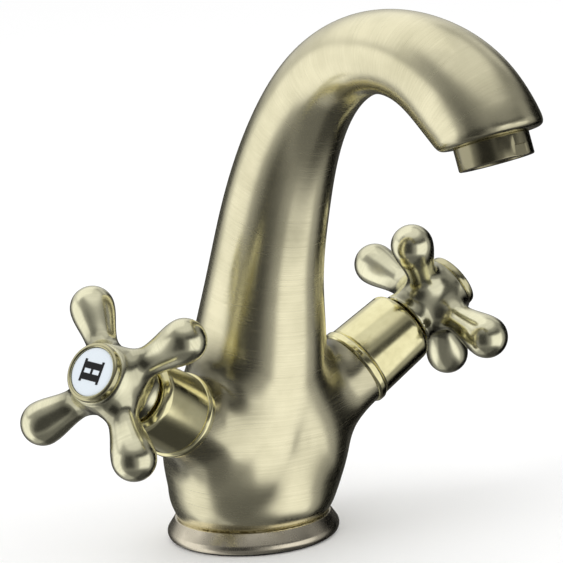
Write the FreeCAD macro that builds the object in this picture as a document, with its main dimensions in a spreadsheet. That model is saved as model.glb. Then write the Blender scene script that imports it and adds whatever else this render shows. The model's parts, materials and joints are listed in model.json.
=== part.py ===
"""Deck-mounted basin mixer with two cross handles, in antique brass.

Frame: millimetres, +Z up, origin on the deck under the middle of the base, spout towards -Y,
hot valve on -X and cold valve on +X. Each valve is built about its own +Z axis, which leaves the
body at the valve origin, and is then set in place.
"""
import FreeCAD, Part
import math
import os
import re
import Sketcher
from FreeCAD import Placement, Rotation, Vector

doc = FreeCAD.newDocument("basin_mixer")
sheet = doc.addObject("Spreadsheet::Sheet", "Sizes")

# alias: (value in mm or degrees, what it measures)
SIZES = {
    # base
    "ring_radius": (26.8, "widest radius of the base ring"),
    "ring_lip_inset": (2.8, "base ring, top lip inside its widest line"),
    "ring_foot_inset": (0.9, "base ring, underside inside its widest line"),
    "ring_edge_height": (1.9, "base ring, its widest line above its underside"),
    "ring_shoulder": (2.0, "base ring, rounding of its widest line"),
    "ring_web": (1.6, "base ring, depth of the groove over the gasket"),
    "gasket_width": (4.6, "gasket, inside to outside"),
    "gasket_inset": (2.0, "gasket's outer edge inside the ring's widest radius"),
    "gasket_proud": (0.6, "how far the gasket stands below the ring"),
    "foot_radius": (19.5, "spigot of the body inside the base ring"),
    "foot_clearance": (0.3, "gap between spigot and base ring"),
    "foot_lift": (1.8, "underside of the spigot above the deck"),
    # body
    "wall": (3.2, "casting wall round the waterway"),
    "mouth_tilt": (18.0, "spout outlet, degrees off straight down"),
    "mouth_round": (2.2, "rounded edge of the spout's end face"),
    # threads in the base
    "stud_radius": (4.0, "M8 fixing stud hole"),
    "stud_forward": (12.0, "stud hole in front of the centre"),
    "stud_depth": (12.0, "stud hole depth"),
    "inlet_radius": (5.0, "M10 x 1 supply inlet"),
    "inlet_side": (9.5, "inlets left and right of the centre"),
    "inlet_depth": (12.0, "threaded depth of an inlet"),
    "feed_radius": (4.2, "cored passage above an inlet"),
    # valve axis
    "valve_height": (25.3, "valve origin above the deck"),
    "valve_forward": (2.5, "valve origin in front of the centre"),
    "valve_rise": (30.0, "degrees that a valve axis rises outwards"),
    "valve_sweep": (12.0, "degrees that a valve axis sweeps forwards"),
    # arm of the body, distances along the valve axis
    "arm_end": (41.5, "end face of the arm"),
    "arm_end_wall": (2.3, "arm's end face, outside the valve thread"),
    "arm_flare": (41.0, "radius of the arm's hollow curve towards the body"),
    "arm_root": (17.5, "inner end of that curve"),
    "arm_core": (3.0, "where the arm starts inside the body"),
    "arm_core_radius": (14.0, "arm inside the body"),
    "arm_round": (9.0, "rounded edge of the arm's root"),
    "thread_radius": (10.0, "half-inch valve thread"),
    "thread_depth": (10.5, "threaded length in the arm"),
    "chamber_radius": (9.5, "water chamber round the cartridge"),
    "seat_at": (22.0, "valve seat"),
    "seat_hole_radius": (5.0, "hole in the valve seat"),
    "port_radius": (3.6, "passage from a chamber to the spout"),
    # headwork
    "fit_clearance": (0.05, "radial gap of a close fit"),
    "turn_clearance": (0.2, "gap round a turning piece"),
    "seal_thick": (2.0, "rubber seat seal"),
    "seal_radius": (8.8, "outside of the seat seal"),
    "disc_radius": (8.0, "ceramic discs"),
    "disc_thick": (2.6, "one ceramic disc"),
    "disc_port_radius": (6.4, "reach of a disc's port"),
    "disc_port_core": (1.6, "solid middle between the ports"),
    "disc_port_angle": (78.0, "degrees that a port spans"),
    "disc_gap": (0.05, "film of grease between the discs"),
    "bonnet_skirt_radius": (9.1, "lower skirt of the headwork"),
    "washer_thick": (0.8, "fibre washer under the hexagon"),
    "washer_land": (0.9, "fibre washer, outside the valve thread"),
    "hexagon_flats": (19.0, "headwork hexagon across flats"),
    "hexagon_height": (6.0, "headwork hexagon"),
    "gland_radius": (7.5, "headwork above the hexagon"),
    "gland_rise": (15.5, "top of the headwork above the arm's end"),
    "spindle_foot_radius": (7.4, "driver at the foot of the spindle"),
    "spindle_foot_height": (4.0, "driver at the foot of the spindle"),
    "spindle_radius": (4.2, "spindle stem"),
    "spline_radius": (4.0, "splined end of the spindle, drawn plain"),
    "oring_section": (0.6, "section radius of a spindle O-ring"),
    "oring_groove": (1.2, "depth of an O-ring groove"),
    "oring_rise": (4.5, "lower O-ring above the arm's end"),
    "oring_pitch": (4.0, "lower to upper O-ring"),
    "clip_thick": (0.8, "retaining clip"),
    "clip_radius": (6.0, "outside of the retaining clip"),
    "clip_groove": (0.6, "depth of the clip's groove"),
    "clip_lift": (0.15, "clip above the headwork"),
    # collar and shroud
    "collar_step": (0.8, "collar's widest radius outside the arm's end"),
    "collar_space": (0.5, "collar's bore outside the washer"),
    "collar_width": (3.2, "collar along the axis"),
    "collar_round": (1.2, "rounded edges of the collar"),
    "shroud_length": (19.8, "shroud along the axis"),
    "shroud_step": (0.6, "shroud's foot inside the collar's widest radius"),
    "shroud_taper": (0.7, "shroud's end inside its foot"),
    "shroud_wall": (1.2, "shroud wall"),
    "shroud_mouth_radius": (8.2, "hole in the shroud's end"),
    "shroud_round": (2.6, "rounded outer end of the shroud"),
    # cross handle
    "handle_gap": (1.1, "shroud end to handle"),
    "hub_back_radius": (9.4, "back of the hub"),
    "hub_back_length": (5.0, "straight back part of the hub"),
    "hub_radius": (10.2, "hub between the arms"),
    "hub_front_radius": (9.9, "front rim of the hub"),
    "hub_length": (19.0, "hub, back to front"),
    "cross_ahead": (10.6, "plane of the four arms ahead of the hub's back"),
    "arm_reach": (25.8, "hub axis to the middle of a ball end"),
    "ball_radius": (6.6, "ball end of an arm"),
    "grip_start": (11.5, "narrowest place of an arm, from the hub axis"),
    "grip_radius": (4.7, "arm at its narrowest"),
    "hot_turn": (34.4, "hot handle at rest, degrees about its axis"),
    "cold_turn": (22.6, "cold handle at rest, degrees about its axis"),
    "web_thick": (2.0, "floor under the screw head"),
    "pocket_radius": (6.7, "pocket for screw head and cap skirt"),
    "pocket_depth": (3.6, "depth of that pocket"),
    # handle screw
    "screw_radius": (2.0, "handle screw thread"),
    "screw_length": (11.0, "screw under its head"),
    "screw_head_radius": (4.0, "screw head"),
    "screw_head_height": (2.2, "screw head"),
    "screw_slot_width": (1.1, "cross recess arm"),
    "screw_slot_length": (4.6, "cross recess, end to end"),
    "screw_slot_depth": (1.2, "cross recess"),
    # index cap
    "cap_radius": (8.9, "index cap"),
    "cap_height": (2.6, "index cap above the hub"),
    "cap_round": (1.1, "rounded rim of the cap"),
    "cap_skirt_length": (1.3, "skirt that plugs into the hub"),
    "cap_skirt_wall": (1.1, "wall of that skirt"),
    "cap_floor": (0.9, "floor of the cap under the badge"),
    "badge_radius": (7.3, "white enamel disc"),
    "badge_thick": (1.1, "white enamel disc"),
    "badge_sink": (0.3, "disc below the cap's rim"),
    "letter_height": (7.2, "mark on the badge"),
    "letter_width": (6.6, "mark on the badge"),
    "letter_stem": (1.7, "thick stroke of the mark"),
    "letter_thin": (0.9, "thin stroke of the mark"),
    "letter_serif": (0.7, "serif beyond the stroke"),
    "letter_thick": (0.12, "paint film of the mark"),
    "hot_letter_turn": (84.0, "hot mark, degrees about its axis"),
    "cold_letter_turn": (0.0, "cold mark, degrees about its axis"),
    # outlet
    "socket_radius": (10.0, "M20 outlet socket"),
    "outlet_socket_depth": (8.4, "outlet socket"),
    "outlet_core": (8.2, "waterway where it meets the socket"),
    "nozzle_radius": (10.8, "outside of the aerator ring"),
    "nozzle_length": (6.7, "aerator ring below the spout"),
    "nozzle_thread_length": (6.2, "threaded part of the aerator ring"),
    "nozzle_bore": (8.4, "inside of the aerator ring"),
    "nozzle_lip": (7.7, "opening at its lower lip"),
    "nozzle_lip_height": (1.2, "lower lip"),
    "nozzle_flat": (10.4, "spanner flat, distance from the axis"),
    "nozzle_flat_height": (3.2, "spanner flat"),
    "outlet_seal_thick": (1.8, "washer above the aerator ring"),
    "outlet_seal_bore": (7.0, "hole in that washer"),
    "mesh_thick": (0.6, "aerator screen"),
    "mesh_hole": (0.62, "radius of one screen hole"),
    "mesh_pitch": (1.8, "screen hole to hole"),
    "insert_wall": (1.0, "aerator cartridge wall"),
}

# Sizes that follow from others, so that what fits together moves together.
DERIVED = {
    "arm_end_radius": "thread_radius + arm_end_wall",
    "washer_radius": "thread_radius + washer_land",
    "collar_bore": "washer_radius + collar_space",
    "collar_radius": "arm_end_radius + collar_step",
    "shroud_foot_radius": "collar_radius - shroud_step",
    "shroud_end_radius": "shroud_foot_radius - shroud_taper",
    "gland_end": "arm_end + gland_rise",
    "oring_first": "arm_end + oring_rise",
    "hub_back": "arm_end + collar_width + shroud_length + handle_gap",
    "cross_at": "hub_back + cross_ahead",
    "hub_front": "hub_back + hub_length",
}

# Stations of the cast body, base to spout mouth: forward of the centre, height,
# half depth in the bend's plane, half width.
ROUTE = {
    "sole": (0.0, 6.8, 23.1, 23.1),
    "heel": (0.1, 10.5, 24.9, 24.9),
    "belly": (0.6, 18.0, 25.8, 25.8),
    "breast": (1.4, 26.0, 25.4, 25.4),
    "root": (3.0, 37.0, 23.4, 23.6),
    "shoulder": (5.6, 51.0, 21.4, 21.8),
    "waist": (8.7, 66.0, 19.7, 19.9),
    "neck": (12.1, 82.3, 17.6, 17.7),
    "rise": (19.2, 105.9, 15.8, 16.0),
    "bend": (28.4, 126.2, 14.1, 14.3),
    "knee": (42.9, 144.1, 12.6, 13.0),
    "crown": (62.8, 153.8, 12.1, 13.1),
    "fall": (84.9, 151.9, 13.6, 14.1),
    "brow": (102.0, 141.8, 15.5, 15.6),
    "mouth": (108.9, 132.6, 16.2, 16.3),
}
MEASURES = ("forward", "height", "deep", "wide")
WATERWAY = ["shoulder", "waist", "neck", "rise", "bend", "knee", "crown", "fall"]
SIDES = {"hot": -1, "cold": 1}
FUNCTIONS = {"cos", "sin", "tan", "min", "max"}


def fill_sheet():
    rows = [(name, value) for name, (value, note) in SIZES.items()]
    for station, numbers in ROUTE.items():
        rows += [(f"{station}_{measure}", value) for measure, value in zip(MEASURES, numbers)]
    rows += [(name, "=" + text) for name, text in DERIVED.items()]
    for row, (name, value) in enumerate(rows, start=1):
        sheet.set(f"A{row}", name)
        sheet.set(f"B{row}", str(value))
        sheet.setAlias(f"B{row}", name)
    doc.recompute()


def formula(text):
    """Sheet aliases in text, such as wall + 1, written as the sheet's cells."""
    return re.sub(r"[a-z][a-z_]*", lambda m: m[0] if m[0] in FUNCTIONS else "Sizes." + m[0], str(text))


def number(text):
    """The value of a formula, in mm or degrees."""
    return float(sheet.evalExpression(formula(text)))


def bind(thing, **formulas):
    """Ties properties to formulas of the sheet's aliases."""
    for name, text in formulas.items():
        thing.setExpression(name, formula(text))
    return thing


def new_part(kind, name, **formulas):
    return bind(doc.addObject(kind, name), **formulas)


def place(thing, where):
    thing.Placement = where
    return thing


# ---------- sketches and turned pieces ----------

def origin_plane(body, role):
    return next(f for f in body.Origin.OriginFeatures if f.Role == role)


def outline(body, name, plane, points, closed_rings=()):
    """A sketch of straight lines through points, each a pair of formulas, tied to the sheet."""
    sketch = body.newObject("Sketcher::SketchObject", name)
    sketch.AttachmentSupport = [(origin_plane(body, plane), "")]
    sketch.MapMode = "FlatFace"
    values = [Vector(number(across), number(up), 0) for across, up in points]
    count = len(points)
    for here in range(count):
        sketch.addGeometry(Part.LineSegment(values[here], values[(here + 1) % count]), False)
    for here in range(count):
        sketch.addConstraint(Sketcher.Constraint("Coincident", here, 2, (here + 1) % count, 1))
    for here, (across, up) in enumerate(points):
        tie(sketch, "DistanceX", -2, here, across, values[here].x)
        tie(sketch, "DistanceY", -1, here, up, values[here].y)
    return sketch


def tie(sketch, kind, axis, here, text, value):
    """Holds one coordinate of a corner: on the axis where it is 0, else at its formula."""
    if abs(value) < 1e-9:
        sketch.addConstraint(Sketcher.Constraint("PointOnObject", here, 1, axis))
        return
    index = sketch.addConstraint(Sketcher.Constraint(kind, -1, 1, here, 1, value))
    sketch.setExpression(f"Constraints[{index}]", formula(text))


def new_body(label):
    body = doc.addObject("PartDesign::Body", label)
    body.Label = label
    return body


def revolve(body, sketch, cut=False, axis="V_Axis"):
    feature = body.newObject("PartDesign::Groove" if cut else "PartDesign::Revolution", sketch.Name + "_turn")
    feature.Profile = sketch
    feature.ReferenceAxis = (sketch, [axis])
    feature.Angle = 360.0
    body.Tip = feature
    return feature


def turned(label, points, where=Placement()):
    """A body turned about +Z from (radius, height) points."""
    body = new_body(label)
    revolve(body, outline(body, label + "_profile", "XZ_Plane", points))
    body.Placement = where
    doc.recompute()
    return body


def circle_edges(shape, radius, height):
    """Names of a local shape's circular edges about +Z with this radius and height."""
    found = []
    for index, edge in enumerate(shape.Edges, start=1):
        curve = edge.Curve
        if isinstance(curve, Part.Circle) and abs(curve.Radius - radius) < 1e-4:
            if abs(curve.Center.z - height) < 1e-4 and abs(curve.Axis.z) > 0.999:
                found.append(f"Edge{index}")
    return found


def round_off(body, text, rims):
    """Fillets the turned rims, each (radius, height), by a formula."""
    doc.recompute()
    base = body.Tip
    names = [n for radius, height in rims for n in circle_edges(base.Shape, number(radius), number(height))]
    fillet = body.newObject("PartDesign::Fillet", body.Name + "_round")
    fillet.Base = (base, names)
    bind(fillet, Radius=text)
    body.Tip = fillet
    doc.recompute()
    return fillet


def joined(kind, name, parts):
    """Part::Cut of two, or Part::MultiFuse of several."""
    whole = doc.addObject(kind, name)
    if kind == "Part::Cut":
        whole.Base, whole.Tool = parts
    else:
        whole.Shapes = parts
    whole.Label = name
    return whole


# ---------- axes ----------

def valve_frame(side, turn=0.0):
    """Local +Z along a valve's axis, turned about it; local +X level."""
    rise, sweep = math.radians(number("valve_rise")), math.radians(number("valve_sweep"))
    axis = Vector(
        SIDES[side] * math.cos(rise) * math.cos(sweep),
        -math.cos(rise) * math.sin(sweep),
        math.sin(rise),
    )
    level = Vector(0, 0, 1).cross(axis).normalize()
    frame = Rotation(level, axis.cross(level), axis, "ZXY")
    base = Vector(0, -number("valve_forward"), number("valve_height"))
    return Placement(base, frame * Rotation(Vector(0, 0, 1), turn))


def outlet_frame():
    """Local +Z leaves the spout's mouth; local +X is the tap's +X."""
    tilt = math.radians(number("mouth_tilt"))
    out = Vector(0, -math.sin(tilt), -math.cos(tilt))
    across = Vector(1, 0, 0)
    base = Vector(0, -number("mouth_forward"), number("mouth_height"))
    return Placement(base, Rotation(across, out.cross(across), out, "ZXY"))


def rotation_to(direction):
    return Rotation(Vector(0, 0, 1), direction)


# ---------- cast body ----------

def route_point(station):
    return Vector(0, -number(f"{station}_forward"), number(f"{station}_height"))


def route_frames():
    """A placement for each station, its +Z along the smooth route and its +X across the tap."""
    points = [route_point(station) for station in ROUTE]
    tilt = math.radians(number("mouth_tilt"))
    curve = Part.BSplineCurve()
    curve.interpolate(
        Points=points,
        InitialTangent=Vector(0, 0, 1),
        FinalTangent=Vector(0, -math.sin(tilt), -math.cos(tilt)),
    )
    frames = {}
    for station, point in zip(ROUTE, points):
        along = Vector(*curve.tangent(curve.parameter(point))[0]).normalize()
        across = Vector(1, 0, 0)
        frames[station] = Placement(point, Rotation(across, along.cross(across), along, "ZXY"))
    return frames


def section(name, wide, deep, where):
    """An ellipse across the route; it is never deeper than it is wide."""
    ring = new_part("Part::Ellipse", name, MajorRadius=wide, MinorRadius=deep)
    return place(ring, where)


def loft(name, sections):
    solid = doc.addObject("Part::Loft", name)
    solid.Sections = sections
    solid.Solid = True
    solid.Ruled = False
    return solid


def edge_at(shape, where):
    """Number of the edge that lies in a placement's XY plane."""
    for index, edge in enumerate(shape.Edges, start=1):
        spots = edge.discretize(7)
        if max(abs(where.inverse().multVec(spot).z) for spot in spots) < 1e-4:
            return index
    raise RuntimeError("no edge in the plane")


def arm_form(side):
    """Arm that runs straight into its end face and flares into the body along a hollow arc."""
    body = new_body(f"{side}_arm_form")
    sketch = body.newObject("Sketcher::SketchObject", f"{side}_arm_profile")
    sketch.AttachmentSupport = [(origin_plane(body, "XZ_Plane"), "")]
    sketch.MapMode = "FlatFace"
    end, neck, flare = number("arm_end"), number("arm_end_radius"), number("arm_flare")
    core, core_radius, root = number("arm_core"), number("arm_core_radius"), number("arm_root")
    centre = Vector(neck + flare, end, 0)
    fall = math.asin((end - root) / flare)
    root_point = centre - Vector(flare * math.cos(fall), flare * math.sin(fall), 0)
    inner = [Vector(0, core, 0), Vector(core_radius, core, 0)]
    outer = [Vector(neck, end, 0), Vector(0, end, 0)]
    corners = inner + [root_point] + outer
    for here in (0, 1, 3, 4):
        sketch.addGeometry(Part.LineSegment(corners[here], corners[(here + 1) % 5]), False)
    circle = Part.Circle(centre, Vector(0, 0, 1), flare)
    sketch.addGeometry(Part.ArcOfCircle(circle, math.pi, math.pi + fall), False)
    arc = 4
    for one, one_end, other, other_end in (
        (0, 2, 1, 1), (1, 2, arc, 2), (arc, 1, 2, 1), (2, 2, 3, 1), (3, 2, 0, 1)
    ):
        sketch.addConstraint(Sketcher.Constraint("Coincident", one, one_end, other, other_end))
    sketch.addConstraint(Sketcher.Constraint("PointOnObject", 0, 1, -2))
    sketch.addConstraint(Sketcher.Constraint("PointOnObject", 2, 2, -2))
    for level in (0, 2):
        sketch.addConstraint(Sketcher.Constraint("Horizontal", level))
    for kind, index, corner, text, value in (
        ("DistanceY", 0, 1, "arm_core", core),
        ("DistanceX", 0, 2, "arm_core_radius", core_radius),
        ("DistanceY", 1, 2, "arm_root", root),
        ("DistanceX", 2, 1, "arm_end_radius", neck),
        ("DistanceY", 2, 1, "arm_end", end),
        ("DistanceX", arc, 3, "arm_end_radius + arm_flare", centre.x),
        ("DistanceY", arc, 3, "arm_end", end),
    ):
        number_of = sketch.addConstraint(Sketcher.Constraint(kind, -1, 1, index, corner, value))
        sketch.setExpression(f"Constraints[{number_of}]", formula(text))
    revolve(body, sketch)
    doc.recompute()
    base = body.Tip
    fillet = body.newObject("PartDesign::Fillet", f"{side}_arm_round")
    fillet.Base = (base, circle_edges(base.Shape, root_point.x, root_point.y))
    bind(fillet, Radius="arm_round")
    body.Tip = fillet
    return place(body, valve_frame(side))


def valve_cavity(side):
    """Stepped bore for a headwork: seat hole, water chamber and thread."""
    points = [
        ("0", "inlet_side"),
        ("seat_hole_radius", "inlet_side"),
        ("seat_hole_radius", "seat_at"),
        ("chamber_radius", "seat_at"),
        ("chamber_radius", "arm_end - thread_depth"),
        ("thread_radius", "arm_end - thread_depth"),
        ("thread_radius", "arm_end + 1"),
        ("0", "arm_end + 1"),
    ]
    return turned(f"{side}_valve_cavity", points, valve_frame(side))


def upright(name, x, y, radius, start, top):
    """A vertical cylinder between two heights."""
    hole = new_part("Part::Cylinder", name, Radius=radius, Height=f"({top}) - ({start})")
    bind(hole, **{"Placement.Base.x": x, "Placement.Base.y": y, "Placement.Base.z": start})
    return hole


def chamber_port(side, end):
    """Passage from a valve's chamber up into the foot of the spout's waterway."""
    frame = valve_frame(side)
    start = frame.multVec(Vector(0, 0, number("seat_at + seal_thick + disc_thick")))
    sideways = Vector(SIDES[side] * number("inlet_side"), 0, 0)
    run = end + sideways - start
    port = new_part("Part::Cylinder", f"{side}_port", Radius="port_radius")
    port.Height = run.Length
    return place(port, Placement(start, rotation_to(run)))


def build_body():
    frames = route_frames()
    outer = [section(f"{s}_outside", f"{s}_wide", f"{s}_deep", frames[s]) for s in ROUTE]
    inner = [section(f"{s}_inside", f"{s}_wide - wall", f"{s}_deep - wall", frames[s]) for s in WATERWAY]
    inner.append(section("brow_inside", "outlet_core", "outlet_core", frames["brow"]))
    inner.append(section("mouth_inside", "outlet_core", "outlet_core", frames["mouth"]))
    neck = loft("neck_form", outer)
    waterway = loft("waterway", inner)

    doc.recompute()
    rounded = doc.addObject("Part::Fillet", "neck_rounded")
    rounded.Base = neck
    radius = number("mouth_round")
    rounded.Edges = [(edge_at(neck.Shape, frames["mouth"]), radius, radius)]
    below = upright("below_sole", "0", "0", "ring_radius + wall", "foot_lift", "sole_height")
    trimmed = joined("Part::Cut", "neck_trimmed", [rounded, below])
    foot = upright("foot", "0", "0", "foot_radius", "foot_lift", "belly_height")
    cast = joined("Part::MultiFuse", "cast_form", [foot, trimmed, arm_form("hot"), arm_form("cold")])
    tools = [waterway, valve_cavity("hot"), valve_cavity("cold")]
    tools.append(upright("stud_hole", "0", "-stud_forward", "stud_radius", "0", "foot_lift + stud_depth"))
    feed_top = "valve_height + inlet_side * tan(valve_rise)"
    for side, sign in SIDES.items():
        x = f"{sign} * inlet_side"
        tools.append(upright(f"{side}_inlet", x, "0", "inlet_radius", "0", "foot_lift + inlet_depth"))
        tools.append(upright(f"{side}_feed", x, "0", "feed_radius", "foot_lift", feed_top))
        tools.append(chamber_port(side, route_point("shoulder")))
    depth = "outlet_socket_depth + 1"
    socket = new_part("Part::Cylinder", "outlet_socket", Radius="socket_radius", Height=depth)
    frame = outlet_frame()
    place(socket, frame.multiply(Placement(Vector(0, 0, -number("outlet_socket_depth")), Rotation())))
    tools.append(socket)
    body = joined("Part::Cut", "body", [cast, joined("Part::MultiFuse", "cavities", tools)])
    doc.recompute()
    return body


# ---------- base ----------

def build_base():
    bottom, top = "gasket_proud", "sole_height"
    bore = "foot_radius + foot_clearance"
    outside, inside = "ring_radius - gasket_inset", "ring_radius - gasket_inset - gasket_width"
    widest = ("ring_radius", f"{bottom} + ring_edge_height")
    ring = turned(
        "base_ring",
        [
            (bore, bottom),
            (f"{inside} - fit_clearance", bottom),
            (f"{inside} - fit_clearance", f"{bottom} + ring_web"),
            (f"{outside} + fit_clearance", f"{bottom} + ring_web"),
            (f"{outside} + fit_clearance", bottom),
            ("ring_radius - ring_foot_inset", bottom),
            widest,
            ("ring_radius - ring_lip_inset", top),
            (bore, top),
        ],
    )
    round_off(ring, "ring_shoulder", [widest])
    gasket = turned(
        "base_gasket",
        [(inside, "0"), (outside, "0"), (outside, f"{bottom} + ring_web"), (inside, f"{bottom} + ring_web")],
    )
    return [ring, gasket]


# ---------- one valve and its handle ----------

def flat_ring(label, inside, outside, start, end, where):
    return turned(label, [(inside, start), (outside, start), (outside, end), (inside, end)], where)


def ceramic_disc(label, start, where, turn):
    """A disc with two opposite ports."""
    disc = new_part("Part::Cylinder", label + "_blank", Radius="disc_radius", Height="disc_thick")
    ports = []
    for index in range(2):
        port = new_part(
            "Part::Cylinder", f"{label}_port{index}", Radius="disc_port_radius", Height="disc_thick + 2",
            Angle="disc_port_angle",
        )
        about = Rotation(Vector(0, 0, 1), turn + 180.0 * index)
        ports.append(place(port, Placement(Vector(0, 0, -1), about)))
    core = new_part("Part::Cylinder", label + "_core", Radius="disc_port_core", Height="disc_thick + 4")
    place(core, Placement(Vector(0, 0, -2), Rotation()))
    opened = joined("Part::Cut", label + "_ports", [joined("Part::MultiFuse", label + "_pair", ports), core])
    whole = joined("Part::Cut", label, [disc, opened])
    return place(whole, where.multiply(Placement(Vector(0, 0, number(start)), Rotation())))


def headwork(side, where):
    """Threaded bonnet that holds the discs and the spindle."""
    label = f"{side}_bonnet"
    low = "seat_at + seal_thick"
    thread = "thread_radius - fit_clearance"
    well = "spindle_foot_radius + turn_clearance"
    floor = f"{low} + 2 * disc_thick + disc_gap + spindle_foot_height + turn_clearance"
    hexagon_foot = "arm_end + washer_thick"
    stem = "spindle_radius + fit_clearance"
    points = [
        ("disc_radius + turn_clearance", low),
        ("bonnet_skirt_radius", low),
        ("bonnet_skirt_radius", "arm_end - thread_depth + fit_clearance"),
        (thread, "arm_end - thread_depth + fit_clearance"),
        (thread, f"{hexagon_foot} + hexagon_height / 2"),
        ("gland_radius", f"{hexagon_foot} + hexagon_height / 2"),
        ("gland_radius", "gland_end"),
        (stem, "gland_end"),
        (stem, floor),
        (well, floor),
        (well, f"{low} + 2 * disc_thick + disc_gap"),
        ("disc_radius + turn_clearance", f"{low} + 2 * disc_thick + disc_gap"),
    ]
    barrel = turned(label + "_barrel", points)
    corner_radius = "hexagon_flats / 2 / cos(30)"
    nut = new_part("Part::Prism", label + "_hexagon", Height="hexagon_height", Circumradius=corner_radius)
    nut.Polygon = 6
    bind(nut, **{"Placement.Base.z": hexagon_foot})
    hole = new_part("Part::Cylinder", label + "_hole", Radius=stem, Height="hexagon_height + 2")
    bind(hole, **{"Placement.Base.z": f"{hexagon_foot} - 1"})
    whole = joined("Part::MultiFuse", label, [barrel, joined("Part::Cut", label + "_nut", [nut, hole])])
    return place(whole, where)


def spindle(side, where):
    """Driver foot, stem with seal and clip grooves, splined end and screw hole."""
    label = f"{side}_spindle"
    start = "seat_at + seal_thick + 2 * disc_thick + disc_gap"
    stem_start = f"{start} + spindle_foot_height"
    top = "hub_front - pocket_depth - web_thick - turn_clearance"
    spline_start = "hub_back"
    half = "oring_section + fit_clearance"
    clip_low = "gland_end + clip_lift"
    points = [("0", start), ("spindle_foot_radius", start), ("spindle_foot_radius", stem_start)]
    points.append(("spindle_radius", stem_start))
    for centre in ("oring_first", "oring_first + oring_pitch"):
        points += notch(f"{centre} - ({half})", f"{centre} + {half}", "oring_groove")
    points += notch(clip_low, f"{clip_low} + clip_thick", "clip_groove")
    points += [
        ("spindle_radius", spline_start),
        ("spline_radius", spline_start),
        ("spline_radius", top),
        ("screw_radius + fit_clearance", top),
        ("screw_radius + fit_clearance", f"{top} - screw_length"),
        ("0", f"{top} - screw_length"),
    ]
    return turned(label, points, where)


def notch(low, high, depth):
    """Outline points of a square groove in the stem."""
    return [
        ("spindle_radius", low),
        (f"spindle_radius - {depth}", low),
        (f"spindle_radius - {depth}", high),
        ("spindle_radius", high),
    ]


def spindle_seals(side, where):
    """Two O-rings on the stem."""
    rings = []
    for index, centre in enumerate(("oring_first", "oring_first + oring_pitch")):
        ring = new_part(
            "Part::Torus", f"{side}_oring{index}", Radius1="spindle_radius - oring_groove + oring_section",
            Radius2="oring_section",
        )
        bind(ring, **{"Placement.Base.z": centre})
        rings.append(ring)
    pair = doc.addObject("Part::Compound", f"{side}_spindle_orings")
    pair.Label = f"{side}_spindle_orings"
    pair.Links = rings
    return place(pair, where)


def collar(side, where):
    low, high = "arm_end", "arm_end + collar_width"
    ring = flat_ring(f"{side}_collar", "collar_bore", "collar_radius", low, high, where)
    round_off(ring, "collar_round", [("collar_radius", low), ("collar_radius", high)])
    return ring


def shroud(side, where):
    foot, end = "arm_end + collar_width", "arm_end + collar_width + shroud_length"
    cover = turned(
        f"{side}_shroud",
        [
            ("shroud_foot_radius - shroud_wall", foot),
            ("shroud_foot_radius", foot),
            ("shroud_end_radius", end),
            ("shroud_mouth_radius", end),
            ("shroud_mouth_radius", f"{end} - shroud_wall"),
            ("shroud_end_radius - shroud_wall - shroud_round / 2", f"{end} - shroud_wall"),
            ("shroud_end_radius - shroud_wall", f"{end} - shroud_wall - shroud_round / 2"),
        ],
        where,
    )
    round_off(cover, "shroud_round", [("shroud_end_radius", end)])
    return cover


def cross_handle(side, where):
    """Hub with four ball-ended arms, a spindle socket and a pocket for the index cap."""
    label = f"{side}_handle"
    back = "hub_back"
    body = new_body(label)
    hub = outline(
        body, label + "_hub", "XZ_Plane",
        [
            ("0", back),
            ("hub_back_radius", back),
            ("hub_back_radius", f"{back} + hub_back_length"),
            ("hub_radius", "cross_at"),
            ("hub_front_radius", "hub_front"),
            ("0", "hub_front"),
        ],
    )
    revolve(body, hub)
    doc.recompute()

    arm = body.newObject("Sketcher::SketchObject", label + "_arm")
    arm.AttachmentSupport = [(origin_plane(body, "XZ_Plane"), "")]
    arm.MapMode = "FlatFace"
    draw_arm(arm)
    one = revolve(body, arm, axis="Axis0")
    doc.recompute()
    cross = body.newObject("PartDesign::PolarPattern", label + "_cross")
    cross.Originals = [one]
    cross.Axis = (hub, ["V_Axis"])
    cross.Angle = 360.0
    cross.Occurrences = 4
    body.Tip = cross
    doc.recompute()

    socket = outline(
        body, label + "_socket", "XZ_Plane",
        [
            ("0", f"{back} - 1"),
            ("spindle_radius + fit_clearance", f"{back} - 1"),
            ("spindle_radius + fit_clearance", "hub_front - pocket_depth - web_thick"),
            ("screw_radius + turn_clearance", "hub_front - pocket_depth - web_thick"),
            ("screw_radius + turn_clearance", "hub_front - pocket_depth"),
            ("pocket_radius", "hub_front - pocket_depth"),
            ("pocket_radius", "hub_front + 1"),
            ("0", "hub_front + 1"),
        ],
    )
    revolve(body, socket, cut=True)
    body.Placement = where
    doc.recompute()
    return body


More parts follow.
